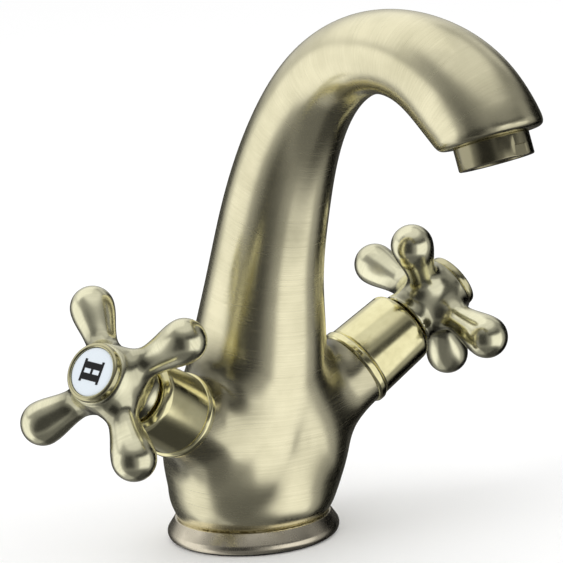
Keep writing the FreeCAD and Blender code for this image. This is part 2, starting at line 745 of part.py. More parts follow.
def draw_arm(sketch):
    """Half outline of one arm, from the hub axis to its ball end, closed by the arm's own axis."""
    level, reach, ball = number("cross_at"), number("arm_reach"), number("ball_radius")
    start, narrow = number("grip_start"), number("grip_radius")
    lean = math.asin((ball - narrow) / (reach - start))
    leave = Vector(reach - ball * math.sin(lean), level + ball * math.cos(lean), 0)
    narrowest = Vector(start, level + narrow, 0)
    inner = Vector(0, level + narrow, 0)
    centre, tip = Vector(reach, level, 0), Vector(reach + ball, level, 0)
    sketch.addGeometry(Part.LineSegment(Vector(0, level, 0), inner), False)
    sketch.addGeometry(Part.LineSegment(inner, narrowest), False)
    sketch.addGeometry(Part.LineSegment(narrowest, leave), False)
    circle = Part.Circle(centre, Vector(0, 0, 1), ball)
    sketch.addGeometry(Part.ArcOfCircle(circle, 0, math.pi / 2 + lean), False)
    sketch.addGeometry(Part.LineSegment(tip, Vector(0, level, 0)), False)
    sketch.addGeometry(Part.LineSegment(Vector(0, level, 0), tip), True)
    joins = [(0, 2, 1, 1), (1, 2, 2, 1), (2, 2, 3, 2), (3, 1, 4, 1), (4, 2, 0, 1)]
    for first, first_end, second, second_end in joins:
        sketch.addConstraint(Sketcher.Constraint("Coincident", first, first_end, second, second_end))
    sketch.addConstraint(Sketcher.Constraint("Coincident", 5, 1, 0, 1))
    sketch.addConstraint(Sketcher.Constraint("Coincident", 5, 2, 4, 1))
    sketch.addConstraint(Sketcher.Constraint("PointOnObject", 0, 1, -2))
    sketch.addConstraint(Sketcher.Constraint("Vertical", 0))
    sketch.addConstraint(Sketcher.Constraint("Horizontal", 1))
    sketch.addConstraint(Sketcher.Constraint("Horizontal", 4))
    sketch.addConstraint(Sketcher.Constraint("PointOnObject", 3, 3, 4))
    sized = [
        (Sketcher.Constraint("DistanceY", -1, 1, 0, 1, level), "cross_at"),
        (Sketcher.Constraint("DistanceY", 0, 1, 0, 2, narrow), "grip_radius"),
        (Sketcher.Constraint("DistanceX", -1, 1, 1, 2, start), "grip_start"),
        (Sketcher.Constraint("DistanceX", -1, 1, 3, 3, reach), "arm_reach"),
        (Sketcher.Constraint("Radius", 3, ball), "ball_radius"),
    ]
    for constraint, text in sized:
        index = sketch.addConstraint(constraint)
        sketch.setExpression(f"Constraints[{index}]", formula(text))
    sketch.addConstraint(Sketcher.Constraint("Tangent", 2, 3))


def handle_screw(side, where):
    """Pan-head screw with a cross recess."""
    label = f"{side}_handle_screw"
    seat = "hub_front - pocket_depth"
    blank = turned(
        label + "_blank",
        [
            ("0", f"{seat} - screw_length"),
            ("screw_radius", f"{seat} - screw_length"),
            ("screw_radius", seat),
            ("screw_head_radius", seat),
            ("screw_head_radius", f"{seat} + screw_head_height"),
            ("0", f"{seat} + screw_head_height"),
        ],
    )
    slots = []
    for index, (long_way, short_way) in enumerate((("length", "width"), ("width", "length"))):
        slot = new_part(
            "Part::Box",
            f"{label}_slot{index}",
            Length=f"screw_slot_{long_way}",
            Width=f"screw_slot_{short_way}",
            Height="screw_slot_depth + 1",
        )
        bind(slot, **{
            "Placement.Base.x": f"-screw_slot_{long_way} / 2",
            "Placement.Base.y": f"-screw_slot_{short_way} / 2",
            "Placement.Base.z": f"{seat} + screw_head_height - screw_slot_depth",
        })
        slots.append(slot)
    whole = joined("Part::Cut", label, [blank, joined("Part::MultiFuse", label + "_recess", slots)])
    return place(whole, where)


def index_cap(side, where):
    """Brass cap with a sunk seat for the badge and a skirt that plugs into the hub."""
    top = "hub_front + cap_height"
    floor = f"{top} - badge_sink - badge_thick"
    skirt = "pocket_radius - fit_clearance"
    cap = turned(
        f"{side}_index_cap",
        [
            (f"{skirt} - cap_skirt_wall", "hub_front - cap_skirt_length"),
            (skirt, "hub_front - cap_skirt_length"),
            (skirt, "hub_front"),
            ("cap_radius", "hub_front"),
            ("cap_radius", top),
            ("badge_radius + fit_clearance", top),
            ("badge_radius + fit_clearance", floor),
            ("0", floor),
            ("0", f"{floor} - cap_floor"),
            (f"{skirt} - cap_skirt_wall", f"{floor} - cap_floor"),
        ],
        where,
    )
    round_off(cap, "cap_round", [("cap_radius", top)])
    return cap


def badge(side, where):
    top = "hub_front + cap_height - badge_sink"
    bottom = f"{top} - badge_thick"
    return turned(
        f"{side}_badge",
        [("0", bottom), ("badge_radius", bottom), ("badge_radius", top), ("0", top)],
        where,
    )


def pad(body, sketch, length, start):
    feature = body.newObject("PartDesign::Pad", sketch.Name + "_pad")
    feature.Profile = sketch
    bind(feature, Length=length)
    sketch.AttachmentOffset = Placement(Vector(0, 0, number(start)), Rotation())
    sketch.setExpression("AttachmentOffset.Base.z", formula(start))
    body.Tip = feature
    return feature


def mark_outline(side):
    """Corners of the painted mark: H for hot, a square-cut C for cold."""
    high, wide = "letter_height / 2", "letter_width / 2"
    if side == "cold":
        inner = f"({wide} - letter_stem)"
        reach = f"({high} - letter_thin)"
        return [
            (f"-{wide}", f"-{high}"), (wide, f"-{high}"), (wide, f"-{high} + letter_stem"),
            (f"{wide} - letter_thin", f"-{high} + letter_stem"), (f"{wide} - letter_thin", f"-{reach}"),
            (f"-{inner}", f"-{reach}"), (f"-{inner}", reach), (f"{wide} - letter_thin", reach),
            (f"{wide} - letter_thin", f"{high} - letter_stem"), (wide, f"{high} - letter_stem"), (wide, high),
            (f"-{wide}", high),
        ]
    outer_stem = f"({wide} - letter_serif)"
    inner_stem = f"({wide} - letter_serif - letter_stem)"
    inner_serif = f"({wide} - 2 * letter_serif - letter_stem)"
    foot = f"({high} - letter_thin)"
    quarter = [
        (inner_stem, "letter_thin / 2"), (inner_stem, foot), (inner_serif, foot), (inner_serif, high),
        (wide, high), (wide, foot), (outer_stem, foot),
    ]
    right = quarter + [(x, f"-{y}") for x, y in reversed(quarter)]
    return right + [(f"-{x}", f"-({y})") for x, y in right]


def mark(side, where):
    body = new_body(f"{side}_mark")
    sketch = outline(body, f"{side}_mark_outline", "XY_Plane", mark_outline(side))
    pad(body, sketch, "letter_thick", "hub_front + cap_height - badge_sink")
    body.Placement = where
    doc.recompute()
    return body


def build_valve(side):
    """The pieces of one side, foot to handle; the second list turns with the handle."""
    where = valve_frame(side)
    turning = valve_frame(side, number(f"{side}_turn"))
    lettering = valve_frame(side, number(f"{side}_letter_turn"))
    low = "seat_at + seal_thick"
    clip_low = "gland_end + clip_lift"
    washer_top = "arm_end + washer_thick"
    fixed = [
        flat_ring(f"{side}_seat_seal", "seat_hole_radius", "seal_radius", "seat_at", low, where),
        ceramic_disc(f"{side}_fixed_disc", low, where, 0.0),
        headwork(side, where),
        flat_ring(f"{side}_washer", "thread_radius", "washer_radius", "arm_end", washer_top, where),
        collar(side, where),
        shroud(side, where),
    ]
    moving = [
        ceramic_disc(f"{side}_moving_disc", f"{low} + disc_thick + disc_gap", where, 90.0),
        spindle(side, where),
        spindle_seals(side, where),
        flat_ring(
            f"{side}_clip",
            "spindle_radius - clip_groove",
            "clip_radius",
            clip_low,
            f"{clip_low} + clip_thick",
            where,
        ),
        cross_handle(side, turning),
        handle_screw(side, turning),
        index_cap(side, where),
        badge(side, where),
        mark(side, lettering),
    ]
    return fixed + moving


# ---------- outlet ----------

def aerator_ring(where):
    low, thread = "nozzle_length", "socket_radius - fit_clearance"
    top = "-nozzle_thread_length"
    blank = turned(
        "aerator_ring_blank",
        [
            ("nozzle_bore", top),
            (thread, top),
            (thread, "0"),
            ("nozzle_radius", "0"),
            ("nozzle_radius", low),
            ("nozzle_lip", low),
            ("nozzle_lip", f"{low} - nozzle_lip_height"),
            ("nozzle_bore", f"{low} - nozzle_lip_height"),
        ],
    )
    flats = []
    for index, sign in enumerate((1, -1)):
        flat = new_part(
            "Part::Box", f"aerator_flat{index}", Length="2 * nozzle_radius", Width="nozzle_radius",
            Height="nozzle_flat_height + 1",
        )
        bind(flat, **{
            "Placement.Base.x": "-nozzle_radius",
            "Placement.Base.y": "nozzle_flat" if sign > 0 else "-nozzle_flat - nozzle_radius",
            "Placement.Base.z": f"{low} - nozzle_flat_height",
        })
        flats.append(flat)
    whole = joined("Part::Cut", "aerator_ring", [blank, joined("Part::MultiFuse", "aerator_flats", flats)])
    return place(whole, where)


def aerator_screen(where):
    """Round screen pierced on a triangular grid."""
    radius, pitch = number("nozzle_bore - fit_clearance"), number("mesh_pitch")
    hole = number("mesh_hole")
    rows = int(radius / pitch) + 1
    wires = [Part.Wire(Part.makeCircle(radius))]
    for row in range(-rows, rows + 1):
        for column in range(-rows, rows + 1):
            spot = Vector((column + row / 2) * pitch, row * pitch * math.sqrt(3) / 2, 0)
            if spot.Length + hole + number("insert_wall") < radius:
                wires.append(Part.Wire(Part.makeCircle(hole, spot)))
    screen = doc.addObject("Part::Feature", "aerator_screen")
    screen.Label = "aerator_screen"
    screen.Shape = Part.Face(wires, "Part::FaceMakerBullseye").extrude(Vector(0, 0, number("mesh_thick")))
    below = number("nozzle_length - nozzle_lip_height - mesh_thick")
    return place(screen, where.multiply(Placement(Vector(0, 0, below), Rotation())))


def build_outlet():
    where = outlet_frame()
    floor = "nozzle_length - nozzle_lip_height - mesh_thick"
    outside = "nozzle_bore - fit_clearance"
    seal_low = "-nozzle_thread_length"
    return [
        aerator_ring(where),
        flat_ring(
            "outlet_seal",
            "outlet_seal_bore",
            "socket_radius - turn_clearance",
            f"{seal_low} - outlet_seal_thick",
            seal_low, where,
        ),
        turned(
            "aerator_cartridge",
            [
                (f"{outside} - insert_wall", floor),
                (outside, floor),
                (outside, seal_low),
                ("outlet_seal_bore / 2", seal_low),
                ("outlet_seal_bore / 2", f"{seal_low} + insert_wall"),
                (f"{outside} - insert_wall", f"{seal_low} + insert_wall"),
            ],
            where,
        ),
        aerator_screen(where),
    ]


# ---------- check and write ----------

def check(parts):
    failed = [o.Name for o in doc.Objects if {"Invalid", "Error"} & set(o.State)]
    for part in parts:
        if part.Shape.isNull() or not part.Shape.isValid() or not part.Shape.Solids:
            failed.append(part.Label + " has no valid solid")
    if failed:
        raise RuntimeError("features failed: " + ", ".join(failed))


def write(parts):
    os.makedirs("parts", exist_ok=True)
    for part in parts:
        part.Shape.exportStep(f"parts/{part.Label}.step")
        solids = len(part.Shape.Solids)
        print(f"{part.Label:22s} {solids} solid(s) {part.Shape.Volume / 1000:9.3f} cm3")


fill_sheet()
pieces = [build_body(), *build_base(), *build_outlet(), *build_valve("hot"), *build_valve("cold")]
doc.recompute()
check(pieces)
write(pieces)
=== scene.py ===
import json
import math
from functools import partial

import bmesh
import bpy
import numpy as np
from bpy.props import FloatProperty, FloatVectorProperty, PointerProperty
from bpy.types import Node, NodeSocket, Operator, Panel, PropertyGroup
from mathutils import Matrix, Vector


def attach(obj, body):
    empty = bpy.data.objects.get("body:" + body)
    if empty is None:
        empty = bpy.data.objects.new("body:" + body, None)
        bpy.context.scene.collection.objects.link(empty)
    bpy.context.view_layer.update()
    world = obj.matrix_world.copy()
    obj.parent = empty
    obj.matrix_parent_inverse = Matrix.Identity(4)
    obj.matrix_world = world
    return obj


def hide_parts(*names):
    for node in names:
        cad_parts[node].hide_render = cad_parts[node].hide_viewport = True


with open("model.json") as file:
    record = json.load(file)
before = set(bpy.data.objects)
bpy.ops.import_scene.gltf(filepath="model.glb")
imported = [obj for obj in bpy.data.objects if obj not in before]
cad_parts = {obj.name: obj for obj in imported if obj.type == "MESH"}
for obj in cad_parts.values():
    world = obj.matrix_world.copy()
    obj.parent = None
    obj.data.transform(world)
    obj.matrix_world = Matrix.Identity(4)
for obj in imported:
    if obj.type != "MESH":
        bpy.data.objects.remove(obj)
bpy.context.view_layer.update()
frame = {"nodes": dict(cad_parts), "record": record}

bl_info = {
    "name": "Cross handle basin mixer",
    "version": (1, 0, 0),
    "blender": (4, 5, 0),
    "location": "View3D > Sidebar > Tap",
    "description": "Finished pieces and materials for a basin mixer in antique brass",
    "category": "Add Mesh",
}

MM = 0.001

# Stations of the cast body, base to spout mouth, in mm: forward of the centre, height, half depth, half width.
# The last few are slightly slimmer than the CAD model's, so that the skin stays within its box.
ROUTE = (
    (0.0, 6.8, 23.1, 23.1),
    (0.1, 10.5, 24.9, 24.9),
    (0.6, 18.0, 25.8, 25.8),
    (1.4, 26.0, 25.4, 25.4),
    (3.0, 37.0, 23.4, 23.6),
    (5.6, 51.0, 21.4, 21.8),
    (8.7, 66.0, 19.7, 19.9),
    (12.1, 82.3, 17.6, 17.7),
    (19.2, 105.9, 15.8, 16.0),
    (28.4, 126.2, 14.1, 14.3),
    (42.9, 144.1, 12.6, 13.0),
    (62.8, 153.65, 11.9, 13.0),
    (84.9, 151.9, 13.6, 14.1),
    (102.0, 141.8, 15.3, 15.5),
    (108.9, 132.6, 15.6, 16.1),
)
SOLE, MOUTH_TILT = 6.8, 18.0

# Valve axes: origin in mm, then degrees that they rise outwards and sweep forwards.
VALVE_ORIGIN = (0.0, -2.5, 25.3)
VALVE_RISE, VALVE_SWEEP = 30.0, 12.0
SIDES = {"hot": -1, "cold": 1}
HANDLE_TURN = {"hot": 34.4, "cold": 22.6}
MARK_TURN = {"hot": 84.0, "cold": 0.0}

# An arm of the body, in mm along its valve axis: it flares along a hollow arc towards a cone inside the body.
ARM_END, ARM_END_RADIUS, ARM_FLARE, ARM_CORE = 41.5, 12.3, 41.0, 3.0
ARM_ROOT, ARM_ROOT_RADIUS, ARM_ROOT_SLOPE, ARM_ROOT_BLEND = 17.5, 20.1, 0.45, 6.0
SPARE = 3.0
# A sloping wall's distance is shorter than the way straight out to it, by about these shares.
ARM_LEAN, HUB_LEAN = 0.85, 0.95

# The cross handle, in mm: (height, radius) of the hub, and (reach, radius) of an arm that ends in a ball.
HUB_BACK, HUB_FRONT, CROSS_AT, BALL_AT, BALL = 65.6, 84.6, 76.2, 25.8, 6.6
HUB_WALL = ((HUB_BACK, 9.4), (68.6, 8.9), (72.0, 9.1), (CROSS_AT, 9.9), (80.5, 10.2), (HUB_FRONT, 9.4))
HUB_WALL_END_SLOPE, LOBE_BLEND = -0.25, 2.0
ARM_WALL = ((0.0, 4.6), (9.0, 4.5), (13.0, 4.55), (18.0, 5.25), (22.5, 6.25), (BALL_AT, BALL))

# Stepped bores, each step as (radius, from, to) in mm: a valve's seat hole, chamber and thread and the facing of
# the arm's end; the outlet's socket; the cut at the sole; a handle's spindle socket and screw pocket.
# FOOT_BORES are the spigot's stud and supply holes as (x, y, radius).
VALVE_BORE = ((5.0, 9.5, 22.0), (9.5, 22.0, 31.0), (10.0, 31.0, ARM_END), (18.0, ARM_END, 50.0))
OUTLET_BORE, SOLE_CUT = ((10.0, -8.4, 1.0),), ((45.0, -9.0, SOLE),)
SPINDLE_BORE, SCREW_BORE = ((4.25, 64.0, 79.0), (2.2, 79.0, 81.2)), ((6.7, 81.0, 85.6),)
FOOT_BORES, FOOT_BORE_TOP = ((0, -12.0, 4.0), (-9.5, 0, 5.0), (9.5, 0, 5.0)), 13.8

# Turned pieces as closed outlines of (radius, height, rounding), in mm, each about its own axis.
FOOT = ((0, 1.8, 0), (19.5, 1.8, 0.5), (19.5, 8.8, 0), (0, 8.8, 0))
COLLAR = (
    (11.4, 41.5, 0.3), (12.6, 41.5, 0.5), (13.1, 42.2, 0.8), (13.1, 43.9, 1.0), (12.4, 44.7, 0.4),
    (11.4, 44.7, 0.3),
)
SHROUD = (
    (11.3, 44.72, 0), (12.3, 44.72, 0.25), (12.5, 45.2, 0.5), (11.85, 64.5, 2.5), (8.2, 64.5, 0.4),
    (8.2, 63.3, 0.4), (10.6, 63.3, 1.2),
)
BEZEL = (
    (0, 84.9, 0), (5.55, 84.9, 0), (5.55, 83.3, 0.2), (6.65, 83.3, 0.2), (6.65, 84.6, 0), (8.8, 84.62, 0.4),
    (8.9, 85.6, 0.8), (8.65, 87.05, 0.9), (7.7, 87.2, 0.3), (7.35, 86.9, 0.1), (7.35, 85.8, 0), (0, 85.8, 0),
)
BADGE = ((0, 85.82, 0), (7.25, 85.82, 0), (7.3, 86.6, 0.3), (6.3, 86.84, 1.0), (3.0, 86.9, 0), (0, 86.9, 0))
MARK_LOW, MARK_HIGH, MARK_EDGE = 86.75, 87.0, 0.05
BASE_RING = (
    (19.8, 0.6, 0.2), (20.15, 0.6, 0), (20.15, 2.2, 0), (24.85, 2.2, 0), (24.85, 0.6, 0), (25.9, 0.6, 0.5),
    (26.85, 2.5, 2.2), (24.0, 6.78, 0.5), (19.8, 6.78, 0),
)
FLAT, FLAT_START, FLAT_STEP = 10.35, 3.4, 0.25
OUTLET_RING = (
    (8.4, -6.2, 0.2), (9.9, -6.2, 0.3), (9.9, 0.02, 0), (10.6, 0.02, 0.15), (10.8, 0.3, 0.2),
    (10.8, FLAT_START, 0), (10.8, FLAT_START + FLAT_STEP, 0), (10.8, 6.7, 0.45), (7.7, 6.7, 0.3), (7.7, 5.5, 0),
    (8.4, 5.5, 0),
)
SCREEN_RADIUS, SCREEN_AT = 8.3, 5.1


# ---------- sizes and colours a user would change ----------

def linear(text):
    """An sRGB hex colour as linear red, green, blue and alpha."""
    parts = [int(text[i:i + 2], 16) / 255 for i in (1, 3, 5)]
    return tuple(c / 12.92 if c <= 0.04045 else ((c + 0.055) / 1.055) ** 2.4 for c in parts) + (1.0,)


def length(name, description, millimetres):
    return FloatProperty(name=name, description=description, default=millimetres * MM, unit="LENGTH", min=0.0)


def colour(name, description, text):
    return FloatVectorProperty(name=name, description=description, default=linear(text), subtype="COLOR", size=4)


class TapSizes(PropertyGroup):
    body_voxel: length("Body grid", "Spacing of the cast body's mesh", 0.9)
    body_blend: length("Body blend", "How softly an arm flows into the body", 10.0)
    mouth_round: length("Mouth edge", "Rounding of the spout's end", 3.0)
    handle_voxel: length("Handle grid", "Spacing of a handle's mesh", 0.55)
    handle_blend: length("Handle blend", "How softly the four arms flow into the hub", 5.0)
    mesh_pitch: length("Screen pitch", "Wire to wire in the aerator screen", 1.1)
    mesh_wire: length("Screen wire", "Radius of a wire in the aerator screen", 0.16)
    mark_height: length("Mark height", "Height of the letter on a badge", 7.2)


class TapFinish(PropertyGroup):
    brass_light: colour("Brass, worn", "Antique brass where it is brushed bright", "#f3ecc9")
    brass_dark: colour("Brass, patina", "Antique brass where the patina stays", "#a09b79")
    handle_light: colour("Handle brass", "Handle castings where they are rubbed bright", "#faf6d4")
    handle_dark: colour("Handle patina", "Handle castings where the patina stays", "#6d694f")
    polished_light: colour("Trim, worn", "Semi-polished trim", "#f8f1c0")
    polished_dark: colour("Trim, patina", "Patina of the semi-polished trim", "#a99d66")
    bezel_light: colour("Bezel", "Ring of an index cap", "#cdc7a0")
    outlet_light: colour("Outlet ring", "Ring that holds the aerator", "#a19b80")
    base_light: colour("Base, worn", "Base ring where it is bright", "#e3dac4")
    base_dark: colour("Base, patina", "Base ring where the patina stays", "#8b8370")
    # Dark colour for the creases: partly patina, partly painted shade where less light falls.
    crevice_patina_and_shade: colour("Crevice", "Patina left in the creases", "#37352a")
    enamel: colour("Badge", "White enamel of a badge", "#dfe7ee")
    ink: colour("Mark", "Black enamel of a letter", "#07080b")


def sizes():
    return bpy.context.scene.tap_sizes


def finish():
    return bpy.context.scene.tap_finish


# ---------- axes ----------

def valve_axis(side):
    rise, sweep = math.radians(VALVE_RISE), math.radians(VALVE_SWEEP)
    return Vector((
        SIDES[side] * math.cos(rise) * math.cos(sweep),
        -math.cos(rise) * math.sin(sweep),
        math.sin(rise),
    ))


def axis_frame(origin, axis, across):
    """Matrix whose +Z is axis and whose +X is across, at an origin in millimetres."""
    up = axis.cross(across)
    matrix = Matrix((across, up, axis)).transposed().to_4x4()
    matrix.translation = Vector(origin)
    return matrix


def valve_frame(side, turn=0.0):
    axis = valve_axis(side)
    level = Vector((0, 0, 1)).cross(axis).normalized()
    return axis_frame(VALVE_ORIGIN, axis, level) @ Matrix.Rotation(math.radians(turn), 4, "Z")


def outlet_frame():
    tilt = math.radians(MOUTH_TILT)
    out = Vector((0, -math.sin(tilt), -math.cos(tilt)))
    forward, height = ROUTE[-1][:2]
    return axis_frame((0, -forward, height), out, Vector((1, 0, 0)))


# ---------- meshes ----------

def taken(work, name):
    """The finished bmesh as a mesh; the bmesh is freed."""
    mesh = bpy.data.meshes.new(name)
    work.to_mesh(mesh)
    work.free()
    return mesh


def placed(name, data):
    """A new object in the scene."""
    item = bpy.data.objects.new(name, data)
    bpy.context.scene.collection.objects.link(item)
    return item


def baked(item):
    """The object's mesh with its modifiers applied; the object is removed."""
    graph = bpy.context.evaluated_depsgraph_get()
    mesh = bpy.data.meshes.new_from_object(item.evaluated_get(graph))
    bpy.data.objects.remove(item)
    return mesh


def add_object(name, mesh, where=Matrix.Identity(4)):
    """A piece at the origin, its mesh set in place and scaled from millimetres."""
    mesh.transform(Matrix.Scale(MM, 4) @ where)
    mesh.name = name
    return placed(name, mesh)


def shade(mesh, angle=35.0):
    """Smooth faces, with sharp edges where two faces meet at more than the angle."""
    limit = math.radians(angle)
    work = bmesh.new()
    work.from_mesh(mesh)
    bmesh.ops.remove_doubles(work, verts=work.verts, dist=1e-5)
    bmesh.ops.recalc_face_normals(work, faces=work.faces)
    for face in work.faces:
        face.smooth = True
    for edge in work.edges:
        edge.smooth = edge.calc_face_angle(0.0) < limit
    work.to_mesh(mesh)
    work.free()
    return mesh


def rounded(corners, steps=5):
    """Corners of (radius, height, rounding) as a closed outline with arcs of that radius at the corners."""
    outline = []
    count = len(corners)
    for here, (x, y, radius) in enumerate(corners):
        corner = Vector((x, y))
        if radius <= 0:
            outline.append(corner)
            continue
        before = (Vector(corners[here - 1][:2]) - corner).normalized()
        after = (Vector(corners[(here + 1) % count][:2]) - corner).normalized()
        half = before.angle(after) / 2
        centre = corner + (before + after).normalized() * radius / math.sin(half)
        start = corner + before * radius / math.tan(half) - centre
        end = corner + after * radius / math.tan(half) - centre
        for step in range(steps + 1):
            share = step / steps
            outline.append(centre + start.slerp(end, share, start) * radius)
    return outline


def around(count):
    """Cosine and sine at even steps round a circle."""
    turns = (2 * math.pi * step / count for step in range(count))
    return [(math.cos(turn), math.sin(turn)) for turn in turns]


def skin(work, rings, others):
    """Faces between each ring of points and its partner; a ring of one point is a pole."""
    for ring, other in zip(rings, others):
        count = max(len(ring), len(other))
        for step in range(count if count > 1 else 0):
            nearby = step + 1
            here = [ring[step % len(ring)], ring[nearby % len(ring)]]
            there = [other[nearby % len(other)], other[step % len(other)]]
            work.faces.new(list(dict.fromkeys(here + there)))


def lathe(name, corners, where=Matrix.Identity(4), segments=128, steps=5, shape=None):
    """A ring or a button turned about +Z from (radius, height, rounding) corners, in millimetres.

    A corner on the axis closes the shape with a single point there. shape moves each point afterwards.
    """
    work = bmesh.new()
    rings = []
    for point in rounded(corners, steps):
        if point.x < 1e-6:
            rings.append([work.verts.new((0, 0, point.y))])
            continue
        rings.append([work.verts.new((point.x * x, point.x * y, point.y)) for x, y in around(segments)])
    skin(work, rings, rings[1:] + rings[:1])
    if shape:
        for vertex in work.verts:
            vertex.co = shape(vertex.co)
    return add_object(name, shade(taken(work, name)), where)


def prism(name, outline, low, high, where, bevel):
    """A flat plate with the given outline between two heights; bevel rounds its top edge."""
    work = bmesh.new()
    base = work.faces.new([work.verts.new((x, y, low)) for x, y in outline])
    raised = bmesh.ops.extrude_face_region(work, geom=[base])
    top = [item for item in raised["geom"] if isinstance(item, bmesh.types.BMVert)]
    for vertex in top:
        vertex.co.z = high
    edges = [edge for edge in work.edges if all(vertex in top for vertex in edge.verts)]
    bmesh.ops.bevel(work, geom=edges, offset=bevel, segments=2, affect="EDGES")
    return add_object(name, shade(taken(work, name)), where)


# ---------- soft castings: a distance rule and a grid mesh that is drawn onto it ----------

def smooth_union(a, b, width):
    """The nearer of two distances, with a soft fillet of that width between them."""
    share = np.clip(0.5 + 0.5 * (b - a) / width, 0, 1)
    return b * (1 - share) + a * share - width * share * (1 - share)


def smooth_cut(a, b, width):
    return -smooth_union(-a, -b, width)


def gradient(field, points, step=0.05):
    """Slope of a distance rule along X, Y and Z."""
    slopes = []
    for axis in range(3):
        shift = np.zeros(3)
        shift[axis] = step
        slopes.append((field(points + shift) - field(points - shift)) / (2 * step))
    return np.stack(slopes, -1)


def coordinates(mesh):
    flat = np.empty(len(mesh.vertices) * 3)
    mesh.vertices.foreach_get("co", flat)
    return flat.reshape(-1, 3)


def relax(points, edges, amount):
    """Moves each point towards the middle of its neighbours, by one amount or one for each point."""
    ends = np.concatenate([edges[:, 0], edges[:, 1]])
    others = np.concatenate([edges[:, 1], edges[:, 0]])
    count = np.bincount(ends, minlength=len(points))
    total = np.stack([np.bincount(ends, points[others, axis], len(points)) for axis in range(3)], -1)
    return points + amount * (total / count[:, None] - points)


# Rounds that draw the grid onto the surface, how many of them even it first and by how much; the share that fills
# a crease in a pass, and rounds that then lift what sank in; the longest step in mm and the least slope squared.
DRAWING_ROUNDS, EVENING_ROUNDS, EVENING = 9, 6, 0.5
FILLING, LIFTING_ROUNDS, LONGEST_STEP, LEAST_SLOPE = 0.6, 2, 2.0, 0.2


def drawn(points, field, step):
    """The points moved along the field's slope by a step worked out from the distance and the slope squared."""
    slope = gradient(field, points)
    reach = np.maximum((slope ** 2).sum(1), LEAST_SLOPE)
    return points - slope * step(field(points), reach)[:, None]


def cast(name, blank, field, voxel, soften=None, passes=0):
    """A grid mesh of the blank's closed shapes, drawn onto the zero surface of the field, in millimetres.

    soften gives each point a share from 0 to 1 by which its creases are then filled in the passes.
    """
    piece = placed(name + "_blank", blank)
    remesh = piece.modifiers.new("grid", "REMESH")
    remesh.mode = "VOXEL"
    remesh.voxel_size = voxel
    mesh = baked(piece)
    edges = np.empty(len(mesh.edges) * 2, int)
    mesh.edges.foreach_get("vertices", edges)
    edges = edges.reshape(-1, 2)
    points = coordinates(mesh)
    for turn in range(DRAWING_ROUNDS):
        if turn < EVENING_ROUNDS:
            points = relax(points, edges, EVENING)
        points = drawn(points, field, lambda away, reach: np.clip(away / reach, -LONGEST_STEP, LONGEST_STEP))
    if soften:
        amount = FILLING * soften(points)[:, None]
        for _ in range(passes):
            points = relax(points, edges, amount)
        for _ in range(LIFTING_ROUNDS):
            points = drawn(points, field, lambda away, reach: np.clip(away, -LONGEST_STEP, 0.0) / reach)
    mesh.vertices.foreach_set("co", points.ravel())
    mesh.update()
    return mesh


def subtract(mesh, cutters):
    """Takes stepped round cutters, each (steps, place), out of a mesh in millimetres."""
    tools = bmesh.new()
    for steps, where in cutters:
        corners = [(0, steps[0][1], 0)]
        for radius, low, high in steps:
            corners += [(radius, low, 0), (radius, high, 0)]
        lathed = lathe("cutter", corners + [(0, steps[-1][2], 0)], segments=64)
        lathed.data.transform(Matrix.Scale(1 / MM, 4))
        lathed.data.transform(where)
        tools.from_mesh(lathed.data)
        bpy.data.objects.remove(lathed)
    whole = placed("whole", mesh)
    tool = placed("tool", taken(tools, "cutters"))
    cut = whole.modifiers.new("cut", "BOOLEAN")
    cut.operation = "DIFFERENCE"
    cut.solver = "EXACT"
    cut.object = tool
    result = baked(whole)
    bpy.data.objects.remove(tool)
    return result


def smooth_curve(stations, values, start_slope, end_slope, at):
    """Value at each place of a smooth curve through the values at the stations, with its end slopes given."""
    count = len(stations)
    spans = np.diff(stations)
    matrix = np.eye(count)
    right = np.zeros(count)
    right[0], right[-1] = start_slope, end_slope
    for here in range(1, count - 1):
        before, after = spans[here - 1], spans[here]
        matrix[here, here - 1:here + 2] = (1 / before, 2 * (1 / before + 1 / after), 1 / after)
        rises = np.diff(values[here - 1:here + 2])
        right[here] = 3 * (rises[0] / before ** 2 + rises[1] / after ** 2)
    slopes = np.linalg.solve(matrix, right)
    here = np.clip(np.searchsorted(stations, at) - 1, 0, len(stations) - 2)
    span = stations[here + 1] - stations[here]
    t = (at - stations[here]) / span
    return (
        (2 * t ** 3 - 3 * t ** 2 + 1) * values[here] + (t ** 3 - 2 * t ** 2 + t) * span * slopes[here]
        + (3 * t ** 2 - 2 * t ** 3) * values[here + 1] + (t ** 3 - t ** 2) * span * slopes[here + 1]
    )


def route_curve(samples=500):
    """Evenly spaced places along the body's middle line, as in ROUTE, and the run to each."""
    table = np.array(ROUTE)
    run = np.concatenate([[0], np.cumsum(np.hypot(np.diff(table[:, 0]), np.diff(table[:, 1])))])
    tilt = math.radians(MOUTH_TILT)
    # first and last slope of each column: upright at the sole, tilted at the mouth, slightly widening at both
    ends = ((0.0, math.sin(tilt)), (1.0, -math.cos(tilt)), (0.5, 0.2), (0.5, 0.2))
    at = np.linspace(0, run[-1], samples)
    columns = []
    for values, (start, end) in zip(table.T, ends):
        columns.append(smooth_curve(run, values, start, end, at))
    return np.stack(columns, -1), at


def longer(curve, heading, run):
    """The curve with a straight piece of SPARE length at each end, which is cut off after the casting."""
    step = run[1]
    extra = math.ceil(SPARE / step)
    reach = np.arange(1, extra + 1)[:, None] * step
    below = np.repeat(curve[:1], extra, 0)
    below[:, :2] -= reach[::-1] * heading[0]
    beyond = np.repeat(curve[-1:], extra, 0)
    beyond[:, :2] += reach * heading[-1]
    headings = np.pad(heading, ((extra, extra), (0, 0)), mode="edge")
    return np.concatenate([below, curve, beyond]), headings


CURVE, RUN = route_curve()
TANGENT = np.gradient(CURVE[:, :2], axis=0)
TANGENT /= np.linalg.norm(TANGENT, axis=1)[:, None]
CURVE, TANGENT = longer(CURVE, TANGENT, RUN)
# To find the nearest place on the curve, every SKIPth is tried first, and then these rounds close in on it.
SKIP, REFINEMENTS = 10, 5


